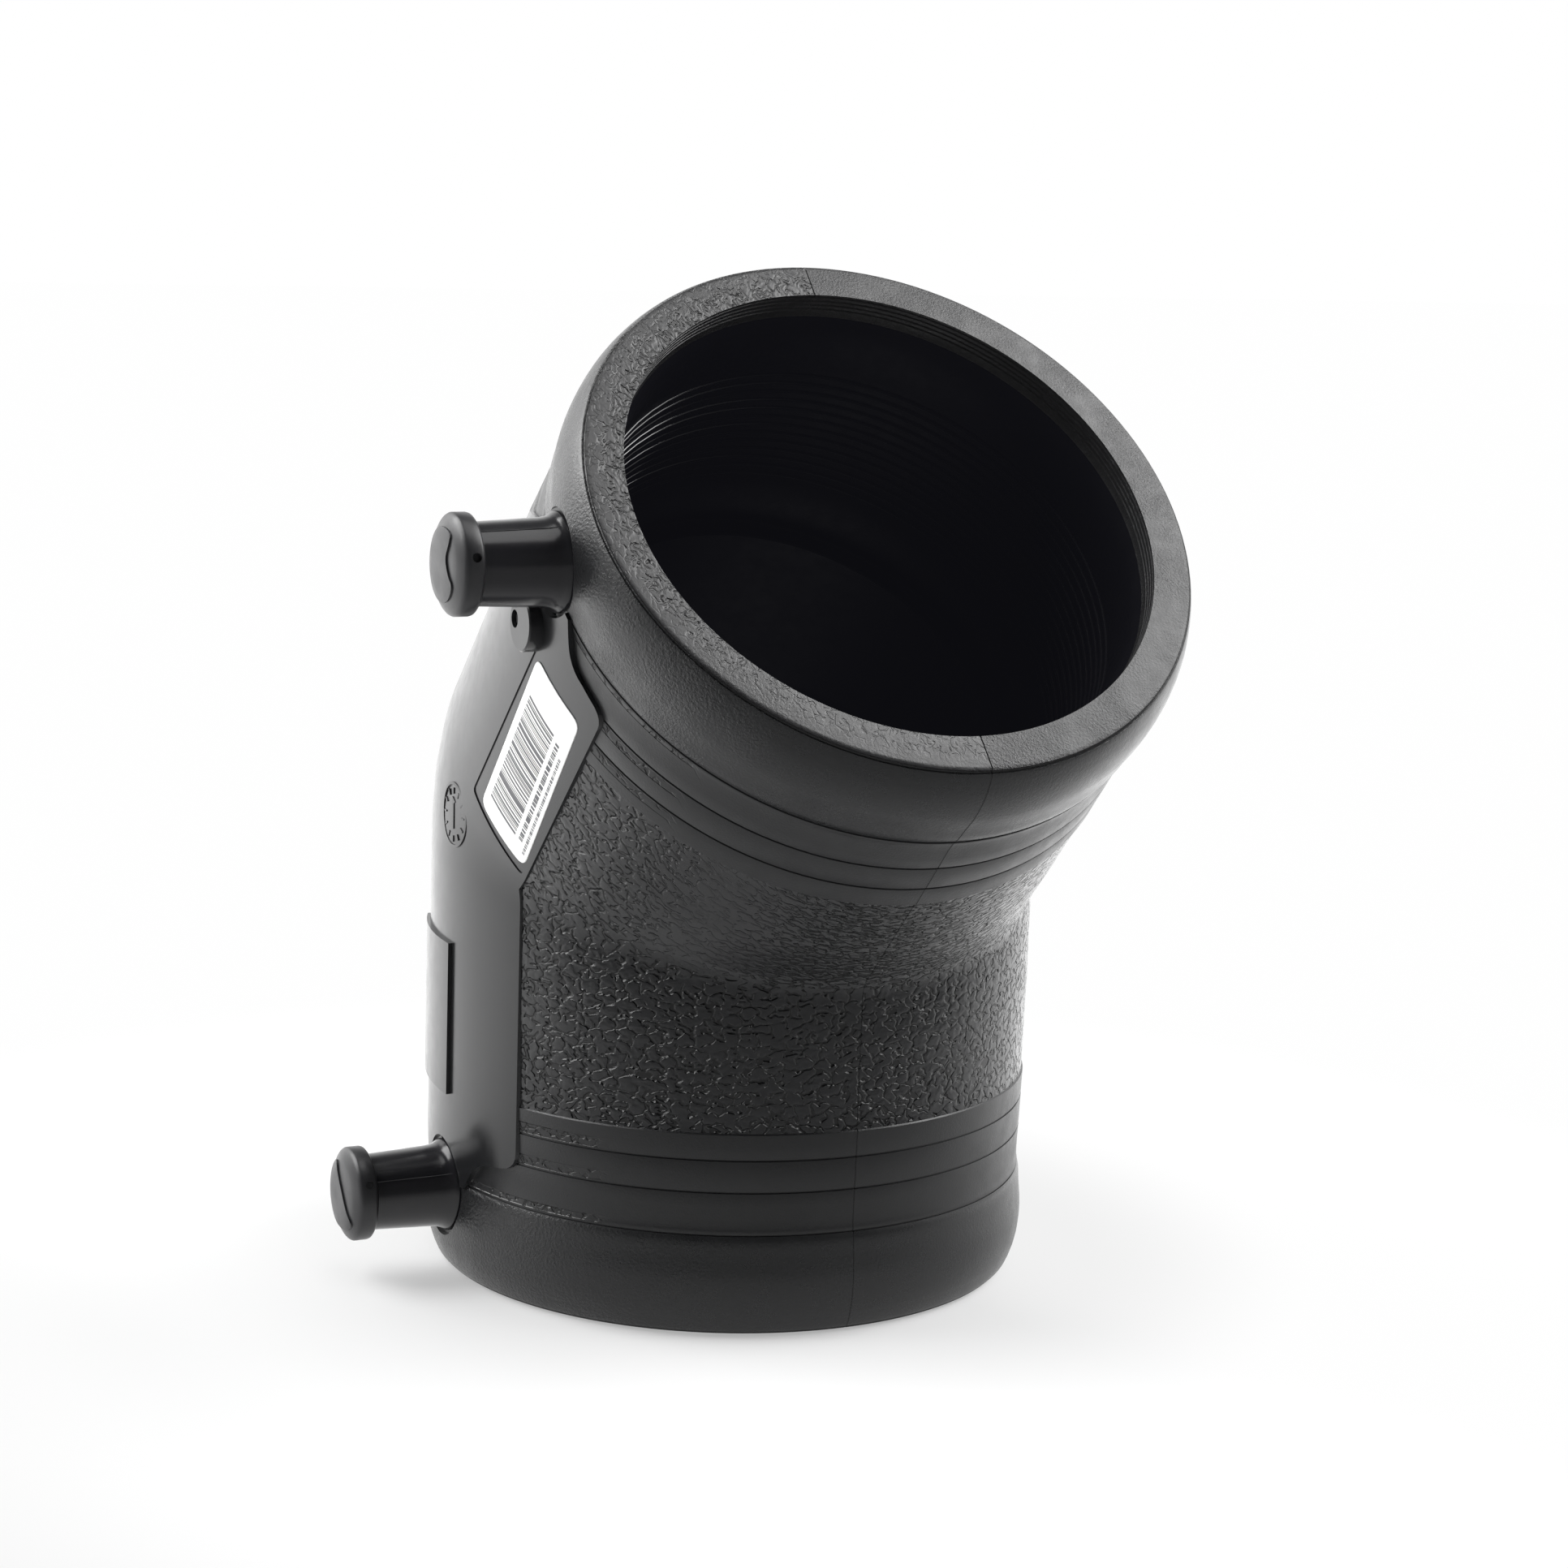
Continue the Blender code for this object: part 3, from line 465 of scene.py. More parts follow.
def soft_front(tree):
    """Leather strength: worn down on the front of the upper leg, full elsewhere."""
    around, deep = round_and_deep(tree)
    front = band_mask(tree, around, -44.0, -17.0, 13.0)
    worn = math_node(tree, "MULTIPLY", front, ramp(tree, deep, 140.0, 150.0))
    return math_node(tree, "MULTIPLY_ADD", worn, -0.92, 1.0)


def inner_rim(tree):
    """Leather strength on the rim: full beside the bore, faint near the outer edge."""
    from_axis = node(tree, "ShaderNodeVectorMath", {0: skin_map(tree)}, operation="LENGTH")
    near_bore = ramp(tree, from_axis.outputs["Value"], 48.6, 51.0, 1.0, 0.10)
    across, _ = round_and_deep(tree)
    return math_node(tree, "MULTIPLY", near_bore, ramp(tree, across, -15.0, 42.0, 1.0, 0.10))


def grained_strips(tree):
    """Leather strength on the bands: a narrow strip behind each groove, close to the pad."""
    around, deep = round_and_deep(tree)
    deep = math_node(tree, "MODULO", deep, UPPER_SHIFT)
    first, second, third = [band_mask(tree, deep, low, high, 0.10) for low, high in STRIPS]
    strips = math_node(tree, "MAXIMUM", math_node(tree, "MAXIMUM", first, second), third)
    return math_node(tree, "MULTIPLY", strips, band_mask(tree, around, -124.0, -47.0, 5.0))


def sanded_side(tree):
    """Sand strength on the collars: full beside the terminals, faint on the far side."""
    around, _ = round_and_deep(tree)
    return ramp(tree, around, -52.0, -20.0, 1.0, 0.25)


# %% [markdown]
# ### The skins of the body
# The body is one moulding, so it stays one piece, and each zone of it gets one of these skins by
# its faces' material index. The rim is a little paler, like a face that was cut in a lathe. The
# bore faces away from the lamps and would turn grey by what little light strays in, so it gets
# almost no shine, a black darker than the body's as painted shade, and a faint painted glow that
# holds it at an even deep black.

# %% Body skins
BLACK = (0.0125, 0.0128, 0.0137)
FACED = (0.018, 0.018, 0.019)
# Painted shade: the bore and the wire in it get a black darker than the body's.
BORE_SHADE_BLACK = (0.003, 0.003, 0.004)
BORE_PAINTED_GLOW = (0.0036, 0.0036, 0.0048, 1.0)

grained = make_finish("leather grained polyethylene", BLACK, 0.20, leather_depth=0.48,
                      sand_depth=0.006, mask=soft_front)
collar_skin = make_finish("sanded polyethylene", BLACK, 0.29, sand_depth=0.24,
                          sand_scale=1900.0, mask=sanded_side)
band_skin = make_finish("satin polyethylene", BLACK, 0.34, leather_depth=0.24, sand_depth=0.05,
                        mask=grained_strips, step=0.16)
rim_skin = make_finish("faced rim polyethylene", FACED, 0.38, sand_depth=0.15, sand_scale=2300.0)
bore_skin = make_finish("bore polyethylene", BORE_SHADE_BLACK, 0.50, sand_depth=0.004)
pad_skin = make_finish("smooth pad polyethylene", BLACK, 0.22, sand_depth=0.006,
                       sand_scale=900.0)
pitted_rim = make_finish("pitted rim polyethylene", FACED, 0.32, leather_depth=0.42,
                         sand_depth=0.08, leather_scale=0.66, sand_scale=1500.0, mask=inner_rim)
winding_skin = make_finish("wire under polyethylene", BORE_SHADE_BLACK, 0.50)
# Painted light: a faint emission holds the bore and its wire at an even deep black.
for dim in (bore_skin, winding_skin):
    shader = dim.node_tree.nodes["Principled BSDF"]
    shader.inputs["Emission Color"].default_value = BORE_PAINTED_GLOW
    shader.inputs["Emission Strength"].default_value = 1.0
    shader.inputs["Specular IOR Level"].default_value = 0.04
BODY_SKINS = [grained, collar_skin, band_skin, rim_skin, bore_skin, pad_skin, pitted_rim]
GRAIN, COLLAR, BAND, RIM, BORE, PAD, PITTED = range(len(BODY_SKINS))
print("body has", len(BODY_SKINS), "skins")

# %% [markdown]
# ### The shine of the wire
# The wire lies under a thin skin of plastic that bulges a little, so only a few turns catch the
# light, as thin bright arcs on the terminal side. A coat does this. Its weight fades towards the
# far side, and changes from turn to turn by noise along the upper leg's axis.

# %% Wire shine
tree = winding_skin.node_tree
place = node(tree, "ShaderNodeTexCoord").outputs["Object"]
across = node(tree, "ShaderNodeSeparateXYZ", {0: place}).outputs["Y"]
along = dot_product(tree, place, (0.7071, 0.0, 0.7071))
uneven = node(tree, "ShaderNodeTexNoise", {"W": along, "Scale": 900.0, "Detail": 0.0},
              noise_dimensions="1D").outputs["Fac"]
shine = math_node(tree, "MULTIPLY", ramp(tree, across, -0.030, 0.020, 1.0, 0.0),
                  ramp(tree, uneven, 0.32, 0.62, 0.08, 1.0))
shader = tree.nodes["Principled BSDF"]
tree.links.new(shine, shader.inputs["Coat Weight"])
shader.inputs["Coat Roughness"].default_value = 0.07
shader.inputs["Coat IOR"].default_value = 1.9
print("wire shine has", len(tree.nodes), "nodes")

# %% [markdown]
# ## Body wall
# The wall is turned as one straight leg, from a profile that runs from the middle of the bend down
# the outside, round the rim and up the bore. A pipe could be swept along a curved path, but then
# the crotch would pinch. So the leg is turned straight here and bent later. The outside has the
# faced rim, the crowned collar, a valley, and three grooves with flat bands between them.

# %% Outside of one leg
BEND_STEPS = 20
LEG_IN_BEND = [STRAIGHT_MM + (LEG_MM - STRAIGHT_MM) * step / BEND_STEPS
               for step in range(1, BEND_STEPS + 1)]
RIM_POINTS = [(51.70, 0.0), (52.10, 0.06), (52.36, 0.16), (52.34, 0.52), (52.48, 0.74),
              (52.86, 0.64), (53.10, 1.00), (53.26, 1.40)]
COLLAR_POINTS = [(53.55, 2.00), (53.78, 2.70), (54.02, 3.40), (54.20, 4.00), (54.49, 5.30),
                 (54.67, 6.60), (54.80, 8.00), (54.85, 10.0), (54.80, 11.0), (54.70, 12.0),
                 (54.60, 13.0), (54.50, 14.0), (54.43, 15.0), (54.38, 15.9), (54.29, 16.8),
                 (54.12, 17.5)]
GROOVE_SHAPE = [(-0.30, 0.0), (-0.20, -0.03), (-0.13, -0.24), (0.0, -0.28), (0.13, -0.24),
                (0.20, -0.03), (0.30, 0.0)]
VALLEY_POINTS = [(53.88, 18.8), (53.81, 19.6), (53.82, 21.0), (53.88, 23.0)]
GRAIN_STEP = [(54.22, 33.5), (54.30, 35.6), (54.29, 35.75), (54.02, 35.95), (54.0, 36.2),
              (54.03, 38.0), (54.08, 42.0), (54.15, 46.0), (54.2, STRAIGHT_MM)]


def groove(depth, radius):
    """A groove in the outside, at a depth from the rim and with its lips at a radius."""
    return [(radius + drop, depth + step) for step, drop in GROOVE_SHAPE]


outside = RIM_POINTS + COLLAR_POINTS + groove(18.05, 53.98) + VALLEY_POINTS
outside += groove(25.6, 53.99) + groove(31.3, 54.16) + GRAIN_STEP
outside += [(54.3, height) for height in LEG_IN_BEND]
print("outside has", len(outside), "points")

# %% [markdown]
# The bore begins with four fine rings in the widened mouth. Then come the socket with the shallow
# recess that holds the wire, the stop that the pipe meets, and the narrower passage.

# %% Inside of one leg
MOUTH_RADIUS = 46.0
RING_RADIUS = 46.45
RING_FEET = (0.40, 1.35, 2.30, 3.25)

inside_wall = [(MOUTH_RADIUS, 0.0)]
for foot in RING_FEET:
    inside_wall += [(MOUTH_RADIUS, foot), (RING_RADIUS, foot + 0.05), (RING_RADIUS, foot + 0.15),
                    (MOUTH_RADIUS, foot + 0.40)]
inside_wall += [(45.9, 5.2), (45.4, 6.2), (45.4, 10.0), (45.4, 17.3), (45.66, 17.7),
                (45.66, 30.0), (45.66, 47.5), (45.4, 47.9), (45.4, 54.0), (45.4, 59.7),
                (45.1, 60.0), (42.3, 60.0), (42.0, 60.3), (42.0, 65.0), (42.0, 72.0),
                (42.0, 78.0), (42.0, LEG_MM)]
print("inside has", len(inside_wall), "points")

# %% [markdown]
# The spin makes the whole leg, and each face then gets the skin of its zone by where it lies. Only
# the terminal side of the rim is pitted.

# %% Turn the leg and give each zone its skin
STEPS_AROUND = 144
BORE_LIMIT = 46.5
RINGS_END, RIM_END, COLLAR_END, BANDS_END = 4.6, 0.6, 17.7, 35.9


def zone_of(face):
    """The skin of a face of the straight leg."""
    centre = face.calc_center_median()
    radius, depth = math.hypot(centre.x, centre.y) / MM, centre.z / MM
    if radius < BORE_LIMIT and depth > RINGS_END:
        return BORE
    if radius < BORE_LIMIT and depth > 0.001:
        return RIM
    if depth < RIM_END:
        return PITTED if centre.y < 0 else RIM
    if depth < COLLAR_END:
        return COLLAR
    return BAND if depth < BANDS_END else GRAIN


wall = lathe(list(reversed(outside)) + inside_wall, STEPS_AROUND)
for face in wall.faces:
    face.material_index = zone_of(face)
print("straight leg has", len(wall.faces), "faces")

# %% [markdown]
# ### Mould line
# The mould closes in the plane through both axes, and leaves a hair-thin line on the outside and
# across the rim. Four cuts beside that plane make room for it, and the points in the plane are
# sunk a little, deeper on the rim, where the line shows most.

# %% Mould line
CUT_OFFSETS = (-0.26, -0.12, 0.12, 0.26)
LINE_ON_RIM, LINE_ON_WALL = 0.32, 0.10

for offset in CUT_OFFSETS:
    near = [face for face in wall.faces
            if face.material_index != BORE and abs(face.calc_center_median().y) < 3.0 * MM]
    cut_plane(wall, near, (0, offset * MM, 0), (0, 1, 0))
wall.normal_update()
seam = [vert for vert in wall.verts if abs(vert.co.y) < 0.01 * MM
        and all(face.material_index != BORE for face in vert.link_faces)]
for vert, normal in [(vert, vert.normal.copy()) for vert in seam]:
    vert.co -= normal * (LINE_ON_RIM if vert.co.z < 0.03 * MM else LINE_ON_WALL) * MM
print("mould line sinks", len(seam), "points")

# %% [markdown]
# ## How the leg bends
# Each lengthwise line of the leg is bent with a radius of its own, small at the crotch and wide on
# the far side. Half of the leg's rings past the straight part go to what is still straight on that
# line, and half to its bend. The bore isn't rounded at the bend: its two straight drillings just
# meet.

# %% Bend a point
CROTCH_TURN, SWEEP_TURN = 6.0, 94.0
STOP_MIDDLE = 61.7 * MM
RECESS_WALL = 46.7 * MM


def bend_of(co):
    """The radius at which a lengthwise line of the wall is bent, and where that bend starts."""
    away = (1.0 - math.cos(math.atan2(co.y, co.x))) / 2
    turn = (CROTCH_TURN + SWEEP_TURN * away ** 3) * MM
    return turn, LEG_LENGTH - (co.x + turn) * math.tan(HALF_BEND)


def bend_point(co, bore):
    """Moves a point of the straight leg to its place on the lower half of the elbow."""
    start = STOP_MIDDLE if bore else STRAIGHT_END
    if co.z <= start:
        return co
    turn, turn_start = (0.0, LEG_LENGTH - co.x * math.tan(HALF_BEND)) if bore else bend_of(co)
    share = (co.z - start) / (LEG_LENGTH - start)
    if share < 0.5:
        return Vector((co.x, co.y, start + (turn_start - start) * share * 2))
    angle = HALF_BEND * (share * 2 - 1)
    across = co.x + turn * (1 - math.cos(angle))
    return Vector((across, co.y, turn_start + turn * math.sin(angle)))


def bend(mesh):
    """Bends all points of a straight leg."""
    for vert in mesh.verts:
        bore = math.hypot(vert.co.x, vert.co.y) < RECESS_WALL
        vert.co = bend_point(vert.co.copy(), bore)


# %% [markdown]
# ### Skin map
# While the leg is still straight it can be unrolled without stretch: round the leg along one axis
# and deep from the rim along the other, both in millimetres. The grain is drawn on this map, so it
# follows the bend and closes up in the crotch as it does on the real moulding. The rim is flat, so
# there the map is simply the place on it.

# %% Skin map
BARREL_MM = 54.3


def length_along(co):
    """The length from the rim to a point, measured along its own lengthwise line."""
    if co.z <= STRAIGHT_END:
        return co.z
    turn, turn_start = bend_of(co)
    share = (co.z - STRAIGHT_END) / (LEG_LENGTH - STRAIGHT_END)
    if share < 0.5:
        return STRAIGHT_END + (turn_start - STRAIGHT_END) * share * 2
    return turn_start + turn * HALF_BEND * (share * 2 - 1)


def map_skin(mesh):
    """Writes the map, with each face kept whole where the leg's two ends of the turn meet."""
    layer = mesh.loops.layers.uv.new("skin")
    for face in mesh.faces:
        middle = face.calc_center_median()
        for loop in face.loops:
            co = loop.vert.co / MM
            if face.material_index in (RIM, PITTED):
                loop[layer].uv = (co.x, co.y)
                continue
            angle = math.atan2(co.y, co.x)
            angle += math.tau * round((math.atan2(middle.y, middle.x) - angle) / math.tau)
            loop[layer].uv = (angle * BARREL_MM, length_along(loop.vert.co) / MM)


map_skin(wall)
print("skin map is", round(math.tau * BARREL_MM, 1), "mm round")

# %% [markdown]
# ### The second leg
# The bent leg is copied, mirrored and welded in the plane of the mirror. A Mirror modifier would
# do the same, but here the copy's map has to be changed too: it moves on, and on the crotch side
# it is drawn closer, because the grain of the upper leg is finer there.

# %% Bend the leg and mirror it
PINCH_GAIN = 0.8
PINCH_FROM, PINCH_WIDTH = -45.0, 35.0
PINCH_DEPTH = 62.0


def shift_map(faces, layer):
    """Moves the map of the mirrored leg on and draws it closer on the crotch side."""
    for face in faces:
        if face.material_index in (RIM, PITTED):
            continue
        for loop in face.loops:
            around, deep = loop[layer].uv
            share = min(max((around - PINCH_FROM) / PINCH_WIDTH, 0.0), 1.0)
            pinch = 1.0 + PINCH_GAIN * share
            loop[layer].uv.y = UPPER_SHIFT + PINCH_DEPTH + (deep - PINCH_DEPTH) * pinch


def add_other_leg(mesh):
    """Adds the mirrored leg and welds it in the plane of the mirror."""
    copied = bmesh.ops.duplicate(mesh, geom=mesh.verts[:] + mesh.edges[:] + mesh.faces[:])
    verts = [item for item in copied["geom"] if isinstance(item, bmesh.types.BMVert)]
    faces = [item for item in copied["geom"] if isinstance(item, bmesh.types.BMFace)]
    bmesh.ops.transform(mesh, matrix=MIRROR, verts=verts)
    bmesh.ops.reverse_faces(mesh, faces=faces)
    layer = mesh.loops.layers.uv.get("skin")
    if layer:
        shift_map(faces, layer)
    bmesh.ops.remove_doubles(mesh, verts=mesh.verts, dist=TINY * 2)


def open_edges(mesh):
    """The edges that don't join exactly two faces."""
    return [edge for edge in mesh.edges if len(edge.link_faces) != 2]


bend(wall)
add_other_leg(wall)
bmesh.ops.recalc_face_normals(wall, faces=wall.faces)
print("wall has", len(wall.faces), "faces and", len(open_edges(wall)), "open edges")

# %% [markdown]
# ## Marking pad
# On the terminal side a smooth field runs over both legs, a little prouder than the grain. Its toe
# narrows in soft steps towards the terminal. The outline is drawn for one leg, in millimetres
# across and deep, and a small function rounds its corners.

# %% Pad outline
def rounded(before, corner, after, radius, steps):
    """Points of a curve that replaces a corner."""
    before, corner, after = Vector(before), Vector(corner), Vector(after)
    start = corner + (before - corner).normalized() * radius
    end = corner + (after - corner).normalized() * radius
    shares = [step / steps for step in range(steps + 1)]
    return [start.lerp(corner, share).lerp(corner.lerp(end, share), share) for share in shares]


def round_corners(corners, radius, steps):
    """Rounds every corner of an outline."""
    points = []
    for index, corner in enumerate(corners):
        after = corners[(index + 1) % len(corners)]
        points += rounded(corners[index - 1], corner, after, radius, steps)
    return points


PAD_HALF_WIDTH = 22.5
toe, shoulder = Vector((8.0, 17.5)), Vector((18.5, 23.6))
pad_corner = Vector((PAD_HALF_WIDTH, 27.8))
hip, knee = Vector((12.725, 23.6)), Vector((PAD_HALF_WIDTH, 25.28))
pad_edge = [toe] + rounded(toe, hip, shoulder, (hip - toe).length * 0.5, 6)
pad_edge += rounded(shoulder, knee, pad_corner, (knee - pad_corner).length * 0.9, 4)
pad_edge += [pad_corner, (PAD_HALF_WIDTH, 100), (-PAD_HALF_WIDTH, 100), (-PAD_HALF_WIDTH, 27.8),
             (-12.0, 17.5)]
pad_outline = [(across * MM, deep * MM) for across, deep in pad_edge]
print("pad outline has", len(pad_outline), "corners")

# %% [markdown]
# The outline could be pushed onto the wall with a Shrinkwrap modifier, but its edge would wander.
# Instead a sleeve of its own is turned and bent like the wall, a little wider, and the outline is
# cut out of it.

# %% Pad skin
PAD_MM = 54.7
SLEEVE_ANGLE = math.radians(-120.0)
SLEEVE_START = math.radians(-30.0)


def bent_skin(radius, depths, steps, outline):
    """Cuts an outline out of a part of a sleeve that is bent like the wall."""
    rings = [(radius, depth) for depth in depths + LEG_IN_BEND]
    skin = lathe(rings, steps, angle=SLEEVE_ANGLE, start=SLEEVE_START)
    bend(skin)
    kept = set(carve_outline(skin, outline, skin.faces[:]))
    spare = [face for face in skin.faces if face not in kept]
    bmesh.ops.delete(skin, geom=spare, context="FACES")
    return skin


pad_depths = [8.0 + 2.0 * step for step in range(21)] + [STRAIGHT_MM]
pad = bent_skin(PAD_MM, pad_depths, 60, pad_outline)
for face in pad.faces:
    face.material_index = PAD
    if face.normal.y > 0:
        face.normal_flip()
add_other_leg(pad)
print("pad has", len(pad.faces), "faces")

# %% [markdown]
# ### Plate and sticker recess
# A bare plate stands out of the pad on the lower leg, and the sticker has a shallow recess on the
# upper one. Both outlines are cut into the pad's skin, and the faces inside are then lifted or
# sunk with new walls round them, as an extrude by hand would do.

# %% Plate and recess
def upper_outline(places):
    """Carries places across and deep on the upper leg to X and Z of the plain frame."""
    carried = [MIRROR @ Vector((across, 0.0, deep)) for across, deep in places]
    return [(place.x, place.z) for place in carried]


def raise_faces(mesh, faces, height):
    """Lifts faces off the -Y side, with walls round them; a negative height sinks them."""
    grown = bmesh.ops.extrude_face_region(mesh, geom=faces)
    verts = [item for item in grown["geom"] if isinstance(item, bmesh.types.BMVert)]
    bmesh.ops.translate(mesh, vec=(0.0, -height * MM, 0.0), verts=verts)
    bmesh.ops.delete(mesh, geom=faces, context="FACES")


PLATE_EDGE = [(-22.0, 33.2), (2.0, 33.2), (2.0, 60.6), (-22.0, 60.6)]
RECESS_EDGE = [(3.6, 29.2), (19.7, 29.2), (21.6, 71.3), (3.6, 71.3)]
PLATE_RISE, RECESS_DROP = 0.7, 0.20

plate_outline = [(across * MM, deep * MM) for across, deep in PLATE_EDGE]
lower_faces = [face for face in pad.faces if face.calc_center_median().z < 75 * MM]
plate = carve_outline(pad, plate_outline, lower_faces)
raise_faces(pad, plate, PLATE_RISE)
recess_outline = [(point.x * MM, point.y * MM) for point in round_corners(RECESS_EDGE, 1.0, 3)]
recess = carve_outline(pad, upper_outline(recess_outline), pad.faces[:])
raise_faces(pad, recess, -RECESS_DROP)
bmesh.ops.remove_doubles(pad, verts=pad.verts, dist=TINY)
print("plate has", len(plate), "faces and recess", len(recess))

# %% [markdown]
# The pad's skin is drawn inwards to a closed shell. Its foot stands in the wall, so no gap shows
# where it leaves the round grain.

# %% Thickness of the pad
PAD_FOOT = 2.2


def thicken(mesh, depth):
    """Draws an open skin on the -Y side inwards to a closed shell."""
    grown = bmesh.ops.extrude_face_region(mesh, geom=mesh.faces[:])
    verts = [item for item in grown["geom"] if isinstance(item, bmesh.types.BMVert)]
    bmesh.ops.translate(mesh, vec=(0.0, depth * MM, 0.0), verts=verts)
    bmesh.ops.recalc_face_normals(mesh, faces=mesh.faces)


thicken(pad, PAD_FOOT)
print("pad shell has", len(pad.faces), "faces and", len(open_edges(pad)), "open edges")

# %% [markdown]
# ## Terminal seats
# Each terminal stands on a small flat that is milled into the round wall. A Boolean with a turned
# tool makes it in both shells, because the flat crosses the collar's edge and the pad's toe.

# %% Terminal seats
TERMINAL = Vector((-2.0 * MM, 15.4 * MM))
SEAT_PROFILE = [(0.0, 58.0), (9.3, 58.0), (9.1, 55.0), (8.85, 53.85), (8.75, 53.7), (6.2, 53.7),
                (6.2, 50.2), (2.3, 50.2), (2.3, 43.0), (0.0, 43.0)]


def as_object(mesh, name):
    """Makes an object with the body's skins, for use in a Boolean."""
    data = bpy.data.meshes.new(name)
    mesh.to_mesh(data)
    mesh.free()
    for skin in BODY_SKINS:
        data.materials.append(skin)
    made = bpy.data.objects.new(name, data)
    bpy.context.scene.collection.objects.link(made)
    return made


def cut_away(mesh, tools):
    """Cuts the tools out of a closed shell and returns what is left."""
    block = as_object(mesh, "block")
    for tool in tools:
        cut = block.modifiers.new("cut", "BOOLEAN")
        cut.operation = "DIFFERENCE"
        cut.object = tool
    bpy.context.view_layer.update()
    depsgraph = bpy.context.evaluated_depsgraph_get()
    data = bpy.data.meshes.new_from_object(block.evaluated_get(depsgraph), depsgraph=depsgraph)
    left = bmesh.new()
    left.from_mesh(data)
    bpy.data.objects.remove(block)
    return left


seat_tools = []
for leg in LEGS:
    seat = stand_out(lathe(SEAT_PROFILE, 64), TERMINAL.x, TERMINAL.y)
    for face in seat.faces:
        face.material_index = COLLAR
    if leg == "upper":
        mirror_mesh(seat)
    seat_tools.append(as_object(seat, "seat_tool_" + leg))
wall = cut_away(wall, seat_tools)
pad = cut_away(pad, seat_tools)
for tool in seat_tools:
    bpy.data.objects.remove(tool)
print("with seats the wall has", len(wall.faces), "faces and the pad", len(pad.faces))

# %% [markdown]
# ## Small forms on the pad
# The pad is now whole and joins the body. The small raised forms that follow join it the same
# way, each as a closed shell whose foot stands in the pad, because a union of so many thin faces
# would only add risk.

# %% Join shells to the body
def append_mesh(target, source):
    """Adds a closed shell to a mesh, with its material indices as they are."""
    data = bpy.data.meshes.new("shell")
    source.to_mesh(data)
    source.free()
    target.from_mesh(data)
    bpy.data.meshes.remove(data)


def append_to_body(shell):
    """Adds a closed shell to the body, with the pad's skin."""
    for face in shell.faces:
        face.material_index = PAD
    append_mesh(wall, shell)


append_to_body(pad)
print("body has", len(wall.faces), "faces with the pad")

# %% [markdown]
# ### Date dial
# Moulders mark the date with a small round insert. It leaves a raised ring with ticks and one
# hand that ends in an arrow. It is drawn flat from a turned ring, cubes and a three-sided cone,
# then stood on the -Y side and laid on the round pad, where the two legs meet.

# %% Date dial
TICKS = 12
DIAL_MIDDLE = -0.2
DIAL_SHIFT = 1.35


def add_block(mesh, turn, place, size):
    """Adds a box, with its place and size in millimetres, turned about Z."""
    spot = Matrix.Translation([value * MM for value in place])
    spread = Matrix.Diagonal([value * MM for value in size] + [1.0])
    bmesh.ops.create_cube(mesh, size=1.0, matrix=turn @ spot @ spread)


def wrap_on_pad(mesh, shift):
    """Lays a flat piece, drawn in X and Z with its height towards -Y, on the round pad."""
    for vert in mesh.verts:
        across = vert.co.x - shift * MM
        vert.co.y -= math.sqrt((PAD_MM * MM) ** 2 - across ** 2)


dial = lathe([(5.8, 0.15), (5.8, -0.6), (5.3, -0.6), (5.3, 0.15)], 64, closed=True)
for tick in range(TICKS):
    turn = Matrix.Rotation(tick * math.tau / TICKS, 4, "Z")
    add_block(dial, turn, (4.25, 0.0, DIAL_MIDDLE), (1.1, 0.3, 0.7))
add_block(dial, Matrix.Identity(4), (0.0, 0.0, DIAL_MIDDLE), (0.5, 5.0, 0.7))
arrow_place = Matrix.Translation((0, 2.4 * MM, DIAL_MIDDLE * MM))
arrow_place = arrow_place @ Matrix.Rotation(math.pi / 6, 4, "Z")
bmesh.ops.create_cone(dial, cap_ends=True, segments=3, radius1=0.9 * MM, radius2=0.9 * MM,
                      depth=0.7 * MM, matrix=arrow_place)
long_edges = [edge for edge in dial.edges if edge.calc_length() > 2.0 * MM]
bmesh.ops.subdivide_edges(dial, edges=long_edges, cuts=5)
stand_out(dial, 2.0 * MM, LEG_LENGTH)
wrap_on_pad(dial, DIAL_SHIFT)
print("dial has", len(dial.faces), "faces")
append_to_body(dial)

# %% [markdown]
# ### Indicator boss
# Beside the upper terminal stands a small round boss with a well. When the weld is made, the
# molten plastic pushes a pin up in the well. The boss is turned, and its well is drilled with a
# Boolean because it doesn't stand in the middle. With the boss the body is whole.

# %% Indicator boss
BOSS_PROFILE = [(0.0, 57.0), (4.35, 57.0), (4.6, 56.75), (4.6, 52.0), (0.0, 52.0)]
WELL_PROFILE = [(0.0, 58.0), (1.5, 58.0), (1.5, 53.0), (0.0, 53.0)]
WELL_PLACE = (-2.0 * MM, 30.2 * MM)

boss = stand_out(lathe(BOSS_PROFILE, 48), 0.0, 29.0 * MM)
well = as_object(stand_out(lathe(WELL_PROFILE, 32), *WELL_PLACE), "well_tool")
boss = cut_away(boss, [well])
bpy.data.objects.remove(well)
mirror_mesh(boss)
append_to_body(boss)
bmesh.ops.transform(wall, matrix=TO_LOWER, verts=wall.verts)
add_piece("elbow_body", wall, BODY_SKINS, "body")

# %% [markdown]
# ### Indicator pin
# The pin is a short turned stud with a small round, sunk in the well of the upper boss.

# %% Indicator pin
PIN_TOP = [(0.0, 56.4), (0.95, 56.4), (1.2, 56.2), (1.2, 53.1), (0.0, 53.1)]

indicator_skin = make_finish("indicator polyethylene", BLACK, 0.35, sand_depth=0.01)
indicator = to_leg(stand_out(lathe(PIN_TOP, 32), *WELL_PLACE), "upper")
add_piece("indicator_pin", indicator, [indicator_skin], "fusion_indicator")

# %% [markdown]
# ## Windings
# A resistance wire lies in the wall of each socket under a thin skin of plastic, and shows as a
# fine screw of ridges. A curve with a bevel could draw it, but a circle that is spun with a rise
# at each step makes the whole screw in one go. A straight run links the two screws in the wall.

